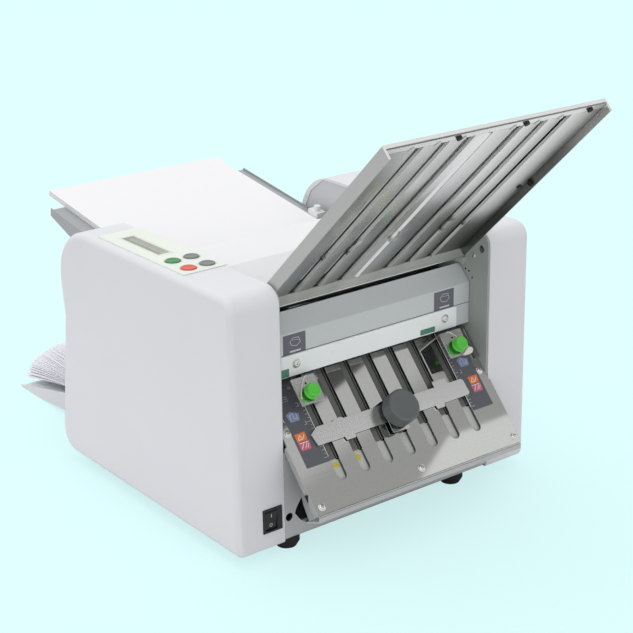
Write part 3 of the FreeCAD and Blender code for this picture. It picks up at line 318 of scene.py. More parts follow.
def rim_steel(name):
    """Folded plate, toned by face direction: outer walls, end wall and end lip light and dull, inner walls and rear
    faces darker as painted shade, upper inner walls lighter as painted light.
    """
    m, nt, b = new_mat(name, (0.62, 0.625, 0.61), 0.27, 1.0, 0.5)
    v = coords(nt)
    line = noise(nt, coords(nt, (900.0, 6.0, 6.0)), 1.0, 5.0, 0.6)
    line2 = noise(nt, coords(nt, (6.0, 900.0, 900.0)), 1.0, 5.0, 0.6)
    geo = nt.nodes.new("ShaderNodeNewGeometry")
    sep = nt.nodes.new("ShaderNodeSeparateXYZ")
    nt.links.new(geo.outputs["Normal"], sep.inputs["Vector"])
    pos = nt.nodes.new("ShaderNodeSeparateXYZ")
    nt.links.new(v, pos.inputs["Vector"])
    along_s = up_slope(nt, pos)
    cs, sn = math.cos(R(136)), math.sin(R(136))
    up_s = calc(nt, "ADD", calc(nt, "MULTIPLY", sep.outputs["Y"], cs), calc(nt, "MULTIPLY", sep.outputs["Z"], sn))
    outward = calc(nt, "MULTIPLY", sep.outputs["X"], calc(nt, "SIGN", pos.outputs["X"]))
    # masks by face direction, used for painted light and shade
    outer = remap(nt, outward, 0.5, 0.7, 0.0, 1.0, True)
    inner = remap(nt, outward, -0.7, -0.5, 1.0, 0.0, True)
    lit_inner_top = calc(nt, "MULTIPLY", inner, remap(nt, along_s, 0.22, 0.30, 0.0, 1.0, True))
    end_wall = calc(nt, "MULTIPLY", remap(nt, up_s, 0.6, 0.8, 0.0, 1.0, True), calc(nt, "LESS_THAN", along_s, 0.004))
    end_lip = calc(nt, "GREATER_THAN", along_s, 0.3370)
    ends = calc(nt, "MAXIMUM", end_wall, end_lip)
    out_n = calc(nt, "ADD", calc(nt, "MULTIPLY", sep.outputs["Y"], -sn), calc(nt, "MULTIPLY", sep.outputs["Z"], cs))
    rear = remap(nt, out_n, -0.9, -0.7, 1.0, 0.0, True)
    # painted light and shade: each face direction gets its own tone
    col = ramp(nt, line, 0.3, 0.7, (0.66, 0.665, 0.65), (0.74, 0.745, 0.73))
    for fac, src, c0, c1 in ((inner, line, (0.24, 0.255, 0.235), (0.29, 0.302, 0.28)),
                             (lit_inner_top, line, (0.54, 0.555, 0.53), (0.60, 0.612, 0.59)),
                             (rear, line, (0.37, 0.375, 0.365), (0.42, 0.425, 0.415)),
                             (outer, line, (0.435, 0.450, 0.435), (0.465, 0.480, 0.465)),
                             (end_wall, line2, (0.50, 0.515, 0.49), (0.56, 0.575, 0.55)),
                             (end_lip, line2, (0.80, 0.81, 0.79), (0.86, 0.87, 0.85))):
        mx = nt.nodes.new("ShaderNodeMix")
        mx.data_type = "RGBA"
        nt.links.new(fac, mx.inputs[0])
        nt.links.new(col, mx.inputs[6])
        nt.links.new(ramp(nt, src, 0.3, 0.7, c0, c1), mx.inputs[7])
        col = mx.outputs[2]
    nt.links.new(col, b.inputs["Base Color"])
    dull = calc(nt, "MAXIMUM", outer, ends)
    nt.links.new(remap(nt, dull, 0.0, 1.0, 1.0, 0.15), b.inputs["Metallic"])
    height = calc(nt, "ADD", calc(nt, "MULTIPLY", line, calc(nt, "SUBTRACT", 1.0, ends)), calc(nt, "MULTIPLY", line2, ends))
    nt.links.new(remap(nt, height, 0.3, 0.7, 0.25, 0.34), b.inputs["Roughness"])
    bump(nt, b, height, 0.00001, 0.25, rounded(nt, 0.0003))
    return m


def sheet_mat(name, color, deg=0.0, low=0.80):
    """Uncoated paper: fibre mottling, and on cut edges the fine lines of single sheets."""
    m, nt, b = new_mat(name, color, 0.78, 0.0, 0.25)
    v = coords(nt)
    fibre = noise(nt, v, 900.0, 4.0, 0.7)
    edge = noise(nt, coords(nt, (12.0, 12.0, 5200.0), rot=(R(-deg), 0, 0)), 1.0, 2.0, 0.5)
    geo = nt.nodes.new("ShaderNodeNewGeometry")
    sep = nt.nodes.new("ShaderNodeSeparateXYZ")
    nt.links.new(geo.outputs["Normal"], sep.inputs["Vector"])
    side = remap(nt, calc(nt, "ABSOLUTE", sep.outputs["Z"]), 0.35, 0.75, 1.0, 0.0, True)
    lines = remap(nt, edge, 0.42, 0.60, low, 1.0)
    k = calc(nt, "ADD", calc(nt, "MULTIPLY", side, lines), calc(nt, "SUBTRACT", 1.0, side))
    mx = nt.nodes.new("ShaderNodeMix")
    mx.data_type = "RGBA"
    mx.blend_type = "MULTIPLY"
    mx.inputs[0].default_value = 1.0
    nt.links.new(ramp(nt, fibre, 0.3, 0.7, tint(color, 0.99), tint(color, 1.005)), mx.inputs[6])
    nt.links.new(k, mx.inputs[7])
    nt.links.new(mx.outputs[2], b.inputs["Base Color"])
    bump(nt, b, fibre, 0.00002, 0.3)
    return m


MAT = {}
MAT["cover"] = cover_plastic("cover_plastic")
MAT["white"] = plastic("white_plastic", (0.79, 0.795, 0.805), 0.42, 1500, 0.00002, 0.01)
MAT["frame"] = lacquer("frame_lacquer", (0.40, 0.43, 0.405), 0.36, 600)
MAT["front"] = lacquer("front_lacquer", (0.57, 0.605, 0.61), 0.30, 700)
MAT["bar"] = lacquer("marker_enamel", (0.85, 0.90, 0.88), 0.28, 700)
MAT["cradle"] = lacquer("cradle_lacquer", (0.46, 0.475, 0.475), 0.40, 600)
MAT["tray"] = lacquer("tray_lacquer", (0.36, 0.375, 0.385), 0.42, 600)
MAT["rail"] = lacquer("rail_lacquer", (0.65, 0.675, 0.69), 0.40, 600)
MAT["steel"] = brushed("plate_steel", (0.58, 0.587, 0.567), 0.028, depth=0.0, spread=0.006, vary=0.02, speck=0.07, smudge=0.12)
MAT["satin"] = brushed("satin_steel", (0.66, 0.665, 0.65), 0.20, depth=0.000003, spread=0.03, vary=0.02, speck=0.06)
MAT["steel_up"] = rim_steel("upper_plate_steel")
MAT["pane"] = pane_steel("pane_steel")
MAT["bright"] = brushed("bright_steel", (0.62, 0.62, 0.61), 0.26)
MAT["nickel"] = brushed("nickel_plate", (0.74, 0.73, 0.71), 0.16, (300, 300, 300), spread=0.05, edge=0.0002)
MAT["rod"] = brushed("turned_steel", (0.50, 0.50, 0.50), 0.25, (900, 40, 40))
MAT["roller"] = brushed("roller_steel", (0.36, 0.36, 0.36), 0.35, (900, 60, 60))
MAT["rubber"] = plastic("black_rubber", (0.018, 0.018, 0.019), 0.62, 900, 0.00005, 0.1, 0.3)
MAT["black"] = plastic("black_plastic", (0.014, 0.014, 0.015), 0.36, 1600, 0.00003, 0.08)
MAT["knob"] = plastic("dark_knob_plastic", (0.121, 0.132, 0.135), 0.46, 1300, 0.00006, 0.05)
MAT["green"] = plastic("green_knob_plastic", (0.098, 0.60, 0.060), 0.33, 1500, 0.00002, 0.04)
MAT["gear"] = plastic("gear_plastic", (0.62, 0.60, 0.50), 0.5, 900)
MAT["panel"] = plastic("panel_film", (0.755, 0.81, 0.735), 0.42, 2200, 0.00001, 0.012)
MAT["panel_in"] = plastic("panel_border_film", (0.70, 0.74, 0.64), 0.42, 2200, 0.00001, 0.012)
MAT["lcd"] = plastic("display_film", (0.36, 0.38, 0.31), 0.14, 2500, 0.000005, 0.03)
MAT["lcd_dark"] = plastic("display_glass", (0.235, 0.245, 0.205), 0.12, 2500, 0.000005, 0.03)
MAT["key_green"] = plastic("key_green", (0.045, 0.25, 0.085), 0.40, 1800, 0.00002, 0.05)
MAT["key_grey"] = plastic("key_grey", (0.19, 0.205, 0.20), 0.42, 1800, 0.00002, 0.05)
MAT["key_red"] = plastic("key_red", (0.70, 0.10, 0.075), 0.38, 1800, 0.00002, 0.05)
MAT["paper"] = sheet_mat("sheet_paper", (0.84, 0.84, 0.85), 9.17)
MAT["leaf"] = sheet_mat("folded_paper", (0.90, 0.905, 0.955), 0.0, 0.90)
MAT["board"] = plastic("board_green", (0.02, 0.16, 0.06), 0.35)
MAT["strip"] = plastic("dark_film", (0.105, 0.110, 0.125), 0.36, 2200, 0.00001, 0.04)
MAT["picto"] = plastic("grey_film", (0.125, 0.130, 0.155), 0.36, 2200, 0.00001, 0.04)
MAT["ink_white"] = plastic("white_ink", (0.60, 0.62, 0.66), 0.45, 2200, 0.00001, 0.03)
MAT["ink_blue"] = plastic("blue_film", (0.23, 0.285, 0.46), 0.40, 2200, 0.00001, 0.05)
MAT["ink_orange"] = plastic("orange_film", (0.78, 0.20, 0.035), 0.40, 2200, 0.00001, 0.05)
MAT["ink_pink"] = plastic("pink_film", (0.56, 0.13, 0.20), 0.40, 2200, 0.00001, 0.05)
MAT["ink_pale"] = plastic("pale_ink", (0.80, 0.76, 0.74), 0.45, 2200, 0.00001, 0.03)
MAT["yellow"] = plastic("yellow_film", (0.62, 0.50, 0.03), 0.45, 2200, 0.00001, 0.05)
MAT["teal"] = plastic("green_clear_film", (0.085, 0.235, 0.165), 0.30, 2200, 0.00001, 0.05)
MAT["pointer"] = plastic("pointer_plastic", (0.78, 0.74, 0.70), 0.40, 1500, 0.00002, 0.02)
# painted shade: dark tones for walls and sheets that lie in shadow
MAT["olive"] = lacquer("shaded_steel", (0.135, 0.140, 0.125), 0.30, 600)
MAT["line_grey"] = lacquer("shaded_steel_light", (0.18, 0.185, 0.18), 0.30, 600)
# painted highlight on the slot lips and corners
MAT["slot_lip"] = lacquer("slot_lip_painted_highlight", (0.62, 0.63, 0.61), 0.30, 600)
# painted light: a lit strip seen at the lower ends of the slots
MAT["slot_floor"] = lacquer("slot_floor_painted_light", (0.56, 0.575, 0.545), 0.34, 600)
# painted highlight: near-white non-metal on the flared lip of one pane
MAT["flare"] = lacquer("flare_painted_highlight", (0.95, 0.955, 0.95), 0.22, 600)
MAT["stop_bar"] = brushed("stop_bar_steel", (0.92, 0.925, 0.91), 0.22, depth=0.000003, spread=0.03, vary=0.02, speck=0.06)
MAT["pane_end"] = brushed("pane_end_steel", (0.74, 0.745, 0.735), 0.25)
MAT["dark_hole"] = plastic("deep_shadow_black", (0.012, 0.013, 0.013), 0.7, 900, 0.00003, 0.05)


def assign(node, mat):
    o = NODES[node]
    o.data.materials.clear()
    o.data.materials.append(mat)


for nm, key in {
    "left_cover": "cover", "right_cover": "cover", "side_frame_left": "frame", "side_frame_right": "frame",
    "base_pan": "frame", "tie_rods": "rod", "top_cover": "white", "front_cover": "front", "rear_panel": "front",
    "marker_bar": "bar", "lower_fold_plate": "steel", "upper_fold_plate": "steel_up", "upper_under_sheet": "pane",
    "feed_deck": "bright", "lower_plate_cradle": "cradle", "format_brackets": "satin", "lower_stop_slide": "stop_bar",
    "upper_stop_slide": "bright", "fold_roller_upper": "roller", "fold_roller_common": "roller",
    "fold_roller_front": "roller", "fold_roller_lower": "roller", "feed_shaft": "rod", "exit_roller_lower": "rod",
    "exit_roller_upper": "rod", "feed_tyres": "rubber", "separator_pad": "rubber", "gear_common": "gear",
    "gear_upper": "gear", "gear_front": "gear", "gear_lower": "gear", "roller_bearings": "bright",
    "drive_motor": "frame", "motor_pulley": "rod", "timing_belts": "rubber", "control_board": "board",
    "power_inlet": "black", "paper_guides": "bright", "feed_table": "tray", "delivery_tray": "rail",
    "paper_stack": "paper", "folded_sheets": "leaf", "control_panel": "panel", "display_window": "lcd",
    "button_start": "key_green", "button_plus": "key_grey", "button_minus": "key_grey", "button_stop": "key_red",
    "switch_housing": "black", "switch_rocker": "black", "lower_stop_knob": "knob", "upper_stop_knob": "knob",
    "format_knob_left": "green", "format_knob_right": "green", "side_guide_left": "white",
    "side_guide_right": "white", "rubber_feet": "rubber", "plate_bumpers": "rubber", "front_screws": "nickel",
}.items():
    assign(nm, MAT[key])


def soften(node, width, seg=2):
    """Rounded edges on a flat-sided CAD node, by modifiers only."""
    o = NODES[node]
    w = o.modifiers.new("join", "WELD")
    w.merge_threshold = 0.00002
    m = o.modifiers.new("edge", "BEVEL")
    m.width = width / 1000.0
    m.segments = seg
    m.limit_method = "ANGLE"
    m.angle_limit = R(30)
    m.use_clamp_overlap = True


for nm, wd in (("top_cover", 0.8), ("front_cover", 0.7), ("rear_panel", 0.3), ("delivery_tray", 0.4),
               ("feed_table", 0.35)):
    soften(nm, wd)


# ------------------------------------------------------------- mesh making
PUT = {"xy": lambda a, b, c: (a, b, c), "xz": lambda a, b, c: (a, c, b), "yz": lambda a, b, c: (c, a, b)}


class Build:
    """Gathers closed shells of one piece in a local frame in mm."""

    def __init__(self, mtx):
        self.bm = bmesh.new()
        self.mtx = mtx

    def face(self, verts, mi=0):
        f = self.bm.faces.new(verts)
        f.material_index = mi
        return f

    def prism(self, pts, n0, n1, mi=0, plane="xy"):
        put = PUT[plane]
        lo = [self.bm.verts.new(put(a, b, n0)) for a, b in pts]
        hi = [self.bm.verts.new(put(a, b, n1)) for a, b in pts]
        self.face(lo[::-1], mi)
        self.face(hi, mi)
        for i in range(len(pts)):
            j = (i + 1) % len(pts)
            self.face([lo[i], lo[j], hi[j], hi[i]], mi)

    def slab(self, x0, x1, y0, y1, z0, z1, mi=0):
        self.prism([(x0, y0), (x1, y0), (x1, y1), (x0, y1)], z0, z1, mi)

    def lathe(self, prof, cx=0.0, cy=0.0, seg=48, mi=0, wave=None, plane="xy", z=0.0):
        put = PUT[plane]
        rings = []
        for r, h in prof:
            if r <= 1e-6:
                rings.append([self.bm.verts.new(put(cx, cy, z + h))])
                continue
            ring = []
            for i in range(seg):
                a = 2 * math.pi * i / seg
                q = r + (wave(i, r, h) if wave else 0.0)
                ring.append(self.bm.verts.new(put(cx + q * math.cos(a), cy + q * math.sin(a), z + h)))
            rings.append(ring)
        for p, q in zip(rings, rings[1:]):
            for i in range(seg):
                j = (i + 1) % seg
                if len(p) == 1 and len(q) == 1:
                    break
                if len(p) == 1:
                    self.face([p[0], q[i], q[j]], mi)
                elif len(q) == 1:
                    self.face([p[i], p[j], q[0]], mi)
                else:
                    self.face([p[i], p[j], q[j], q[i]], mi)
        for end in (rings[0], rings[-1]):
            if len(end) > 1 and rings[0] is not rings[-1]:
                self.face(end, mi)

    def rope(self, pts, rad, seg=10, mi=0):
        """Round bar along a line of points."""
        pts = [Vector(p) for p in pts]
        rings = []
        side = None
        for i, p in enumerate(pts):
            t = (pts[min(i + 1, len(pts) - 1)] - pts[max(i - 1, 0)]).normalized()
            if side is None:
                side = t.orthogonal().normalized()
            side = (side - t * side.dot(t)).normalized()
            other = t.cross(side)
            rings.append([self.bm.verts.new(p + (side * math.cos(2 * math.pi * k / seg)
                                                 + other * math.sin(2 * math.pi * k / seg)) * rad)
                          for k in range(seg)])
        for p, q in zip(rings, rings[1:]):
            for i in range(seg):
                j = (i + 1) % seg
                self.face([p[i], p[j], q[j], q[i]], mi)
        self.face(rings[0][::-1], mi)
        self.face(rings[-1], mi)

    def screw(self, cx, cy, z, r=4.4, h=2.0, turn=0.0, mi=0, plane="xy", flip=1.0):
        """Pan head with a cross recess."""
        put = PUT[plane]
        seg = 40
        prof = [(r, 0.0), (r, h * 0.30), (r * 0.97, h * 0.55), (r * 0.88, h * 0.80), (r * 0.72, h * 0.95), (r * 0.62, h)]
        rings = []
        for q, hh in prof:
            rings.append([self.bm.verts.new(put(cx + q * math.cos(2 * math.pi * i / seg),
                                                cy + q * math.sin(2 * math.pi * i / seg), z + flip * hh))
                          for i in range(seg)])
        for p, q in zip(rings, rings[1:]):
            for i in range(seg):
                j = (i + 1) % seg
                self.face([p[i], p[j], q[j], q[i]], mi)
        self.face(rings[0], mi)
        w, l = r * 0.11, r * 0.46
        base = [(w, w), (l, w), (l, -w), (w, -w), (w, -l), (-w, -l), (-w, -w), (-l, -w), (-l, w), (-w, w), (-w, l), (w, l)]
        ca, sa = math.cos(turn), math.sin(turn)
        cross = [(a * ca - b * sa, a * sa + b * ca) for a, b in base]
        top = [self.bm.verts.new(put(cx + a, cy + b, z + flip * h)) for a, b in cross]
        low = [self.bm.verts.new(put(cx + a * 0.8, cy + b * 0.8, z + flip * h * 0.45)) for a, b in cross]
        edges = []
        for loop in (rings[-1], top):
            for i in range(len(loop)):
                e = self.bm.edges.get((loop[i], loop[(i + 1) % len(loop)]))
                edges.append(e or self.bm.edges.new((loop[i], loop[(i + 1) % len(loop)])))
        got = bmesh.ops.triangle_fill(self.bm, use_beauty=True, use_dissolve=False, edges=edges)
        for g in got["geom"]:
            if isinstance(g, bmesh.types.BMFace):
                g.material_index = mi
        for i in range(12):
            j = (i + 1) % 12
            self.face([top[i], top[j], low[j], low[i]], mi)
        self.face(low, mi)

    def done(self, name, mats, body, stands_for=(), smooth=38, bevel=0.0, seg=2, ang=35):
        bm = self.bm
        bmesh.ops.recalc_face_normals(bm, faces=bm.faces[:])
        bmesh.ops.transform(bm, matrix=self.mtx, verts=bm.verts[:])
        for f in bm.faces:
            f.smooth = True
        for e in bm.edges:
            if len(e.link_faces) != 2 or e.calc_face_angle(0.0) > R(smooth):
                e.smooth = False
        me = bpy.data.meshes.new(name)
        bm.to_mesh(me)
        bm.free()
        for m in (mats if isinstance(mats, (list, tuple)) else [mats]):
            me.materials.append(m)
        o = bpy.data.objects.new(name, me)
        bpy.context.scene.collection.objects.link(o)
        if bevel:
            m = o.modifiers.new("edge", "BEVEL")
            m.width = bevel / 1000.0
            m.segments = seg
            m.limit_method = "ANGLE"
            m.angle_limit = R(ang)
            m.harden_normals = True
        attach(o, body)
        if stands_for:
            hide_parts(*stands_for)
        return o


def round_rect(x0, x1, y0, y1, r, n=5):
    out = []
    for cx, cy, a0 in ((x1 - r, y1 - r, 0), (x0 + r, y1 - r, 90), (x0 + r, y0 + r, 180), (x1 - r, y0 + r, 270)):
        for i in range(n + 1):
            a = R(a0 + 90 * i / n)
            out.append((cx + r * math.cos(a), cy + r * math.sin(a)))
    return out


def disc(cx, cy, r, n=28):
    return [(cx + r * math.cos(2 * math.pi * i / n), cy + r * math.sin(2 * math.pi * i / n)) for i in range(n)]


def bar_2d(p, q, w):
    (ax, ay), (bx, by) = p, q
    d = math.hypot(bx - ax, by - ay)
    nx, ny = -(by - ay) / d * w / 2, (bx - ax) / d * w / 2
    return [(ax + nx, ay + ny), (ax - nx, ay - ny), (bx - nx, by - ny), (bx + nx, by + ny)]


# ------------------------------------------------------ stack on the table
b = Build(PAP)
lay = 16
for i in range(lay):
    z0 = 8.0 * i / lay
    dx, dy = rng.uniform(-0.35, 0.35), rng.uniform(-0.5, 0.5)
    if i in (0, lay - 1):
        dx = dy = 0.0
    tw = rng.uniform(-0.0006, 0.0006)
    pts = [(-148.1 + dx, 0.6 + dy), (148.1 + dx, 0.6 + dy), (148.1 + dx, 419.4 + dy), (-148.1 + dx, 419.4 + dy)]
    pts = [(x - tw * (y - 210), y + tw * x) for x, y in pts]
    b.prism(pts, z0 + 0.03, z0 + 8.0 / lay - 0.03)
b.done("sheet_stack", MAT["paper"], "machine", ("paper_stack",))

# --------------------------------------------- folded sheets in the tray
TIPS = [(716.4, -4.6), (714.4, 2.4), (710.6, 9.6), (703.5, 17.8), (694.0, 26.4), (683.6, 34.8), (671.6, 43.2),
        (660.0, 50.6), (647.2, 58.0), (634.0, 66.2), (620.6, 74.0), (607.4, 81.0), (595.0, 86.4), (583.4, 90.2)]


def along(pts, t):
    seg = [math.dist(p, q) for p, q in zip(pts, pts[1:])]
    d = t * sum(seg)
    for (p, q), L in zip(zip(pts, pts[1:]), seg):
        if d <= L:
            k = d / L
            return (p[0] + (q[0] - p[0]) * k, p[1] + (q[1] - p[1]) * k)
        d -= L
    return pts[-1]


def bed(y):
    """Height of the ribs that carry the sheets."""
    return 17.3 + 0.2237 * (594.4 - y)


b = Build(MACH)
NL = 27
for i in range(NL):
    t = i / (NL - 1)
    ty, tz = along(TIPS, t)
    # the inner end rests on the ribs, 141 mm from the tip
    iy = ty - 138.0
    for _ in range(6):
        iz = bed(iy) + 0.7 + 8.0 * t
        iy += (math.dist((ty, tz), (iy, iz)) - 141.0)
        iy = max(iy, 442.5)
    iz = bed(iy) + 0.7 + 8.0 * t
    a_tip = R(-12.6 + 13.6 * t ** 0.8)
    n = 14
    L = math.dist((ty, tz), (iy, iz))
    chord = math.atan2(tz - iz, ty - iy)
    a_in = 2 * chord - a_tip
    mid = []
    for k in range(n + 1):
        u = k / n
        h1, h2 = 2 * u**3 - 3 * u**2 + 1, -2 * u**3 + 3 * u**2
        g1, g2 = u**3 - 2 * u**2 + u, u**3 - u**2
        y = h1 * iy + h2 * ty + L * (g1 * math.cos(a_in) + g2 * math.cos(a_tip))
        z = h1 * iz + h2 * tz + L * (g1 * math.sin(a_in) + g2 * math.sin(a_tip))
        mid.append((y, z))
    open_tip = 1.15 + 0.45 * rng.random()
    up, dn = [], []
    for k, (y, z) in enumerate(mid):
        u = k / n
        w = 0.30 + open_tip * u ** 2
        if k == n:
            w *= 0.62
        p, q = mid[max(k - 1, 0)], mid[min(k + 1, n)]
        a = math.atan2(q[1] - p[1], q[0] - p[0])
        up.append((y - w * math.sin(a), z + w * math.cos(a)))
        dn.append((y + w * math.sin(a), z - w * math.cos(a)))
    nose = [(ty + 0.35 * math.cos(a_tip), tz + 0.35 * math.sin(a_tip))]
    outline = up + nose + dn[::-1]
    outline = [(min(y, 717.0), max(z, bed(y) - 0.1 if y < 716 else -4.0)) for y, z in outline]
    dx = rng.uniform(-1.2, 1.2)
    b.prism(outline, -155.6 + dx, 138.4 + dx, 0, "yz")
b.done("folded_pile", MAT["leaf"], "machine", ("folded_sheets",), smooth=50)

# ------------------------------------------------------------ big dark knob
RIBS = 44


def ribbed(i, r, h):
    return -0.55 if (r > 21.5 and 9.8 < h < 27.6 and i % 4 in (0, 1)) else 0.0


b = Build(LOW @ Matrix.Translation((0, 91, 0)))
b.lathe([(0, -4.4), (2.9, -4.4), (2.9, 5.0), (8.9, 5.0), (8.9, 9.0), (21.4, 9.0), (22.3, 9.6), (22.45, 10.2), (22.45, 20.0),
         (22.45, 27.2), (22.2, 28.4), (21.5, 29.3), (20.4, 29.85), (18.6, 30.0), (17.6, 29.75), (9.0, 29.7), (0, 29.7)],
        seg=RIBS * 4, wave=ribbed)
b.done("stop_knob", MAT["knob"], "lower_knob", ("lower_stop_knob",), smooth=32)

# clamp plate and washer on the stop bar below the knob
b = Build(LOW @ Matrix.Translation((0, 82, 0)))
b.prism([(-16, -15.9), (9.4, -16.3), (10.6, -15), (11, 10), (-16.6, 10), (-17, -15)], 4.42, 4.95, 0)
b.lathe([(11.5, 4.95), (11.5, 5.5), (11.1, 5.8), (9.2, 5.8)], 0, 9.0, 40)
o = b.done("clamp_plate", MAT["nickel"], "lower_stop", bevel=0.15)

# -------------------------------------------------------------- green knobs
for tag, x in (("left", -122.5), ("right", 122.5)):
    b = Build(LOW @ Matrix.Translation((x, 143.5, 0)))

    def grip(i, r, h):
        return -0.25 if (8.8 < r < 9.5 and 33.5 < h < 38.6 and i % 3 == 0) else 0.0

    b.lathe([(0, 20.0), (2.9, 20.0), (2.9, 26.8), (5.9, 26.8), (5.9, 30.2), (9.7, 30.2), (10.1, 30.6), (10.1, 32.2),
             (9.7, 32.7), (9.2, 33.2), (9.2, 34.0), (9.2, 38.4), (9.0, 39.4), (8.4, 40.2), (7.4, 40.5), (6.7, 40.35), (6.3, 40.0),
             (4.3, 39.9), (3.9, 40.15), (3.5, 40.15), (3.1, 39.8), (0, 39.75)], seg=78, wave=grip)
    b.done("format_grip_" + tag, MAT["green"], "skew_knob_" + tag, ("format_knob_" + tag,), smooth=34)

# curved white pointer arm beside each green knob, and the moulded tip of the right one
for tag, sg in (("left", -1), ("right", 1)):
    b = Build(LOW)
    arm = [(116.6, 166.0), (119.6, 165.6), (122.6, 163.2), (128.0, 157.0), (131.6, 151.3), (134.6, 146.4), (136.6, 142.0), (137.0, 139.0)]
    b.rope([(sg * x, s, 27.35) for x, s in arm], 0.75)
    if sg > 0:
        b.prism([(137.6, 137.4), (141.4, 136.2), (142.2, 132.4), (138.6, 128.6), (131.0, 128.0), (124.4, 129.0), (123.8, 130.2),
                 (130.0, 133.4), (134.4, 136.4)], 26.7, 30.4, 0)
    b.done("format_pointer_" + tag, MAT["pointer"], "machine", bevel=0.5)
# thin black discs standing for the bracket holes: painted shade
b = Build(LOW)
for sg in (-1, 1):
    b.prism(disc(sg * 121.8, 157.0, 1.5), 26.62, 26.70, 0)
b.done("bracket_holes", MAT["dark_hole"], "machine")
# folded rail along the right edge of the lower plate; its walls and floor painted dark as painted shade, its tops and
# end satin steel
b = Build(LOW)
for x0, x1 in ((163.9, 165.1), (166.9, 168.4)):
    b.slab(x0, x1, 127.0, 173.0, 0.02, 4.6, 0)
    b.slab(x0, x1, 127.0, 173.0, 4.6, 5.4, 1)
b.slab(165.1, 166.9, 127.0, 173.0, 0.02, 0.5, 0)
b.slab(163.9, 168.4, 125.6, 127.0, 0.02, 3.6, 1)
b.done("plate_edge_rail", [MAT["olive"], MAT["satin"]], "machine")

# what shows through the slots of the lower plate: the second sheet and its folded rib, drawn as painted shade (dark
# slabs, black gaps, grey ribs) with a painted lit strip at the lower ends
b = Build(LOW)
d = Build(LOW)
g = Build(LOW)
hl = Build(LOW)
for k in range(-3, 4):
    c = 37.6 * k
    b.slab(c - 10.0, c + 4.4, 66.0 + 1.5 * k, 182.5, -4.98, -4.80, 0)
    low = 64.5 + 1.5 * k
    hl.slab(c - 10.0, c + 6.8, 33.0, low, -4.98, -4.86, 0)
    g.slab(c + 6.8, c + 12.0, 33.0, low, -4.98, -4.70, 0)
    d.slab(c + 4.4, c + 5.9, low + 1.5, 182.5, -4.98, -4.70, 0)
    g.slab(c + 5.9, c + 7.4, low + 1.5, 182.5, -4.98, -4.40, 0)
    d.slab(c + 7.4, c + 12.0, low + 1.5, 182.5, -4.98, -4.70, 0)
b.done("slot_back_shade", MAT["olive"], "machine")
hl.done("slot_back_light", MAT["slot_floor"], "machine")
d.done("slot_back_gaps", MAT["dark_hole"], "machine")
g.done("slot_back_ribs", MAT["line_grey"], "machine")

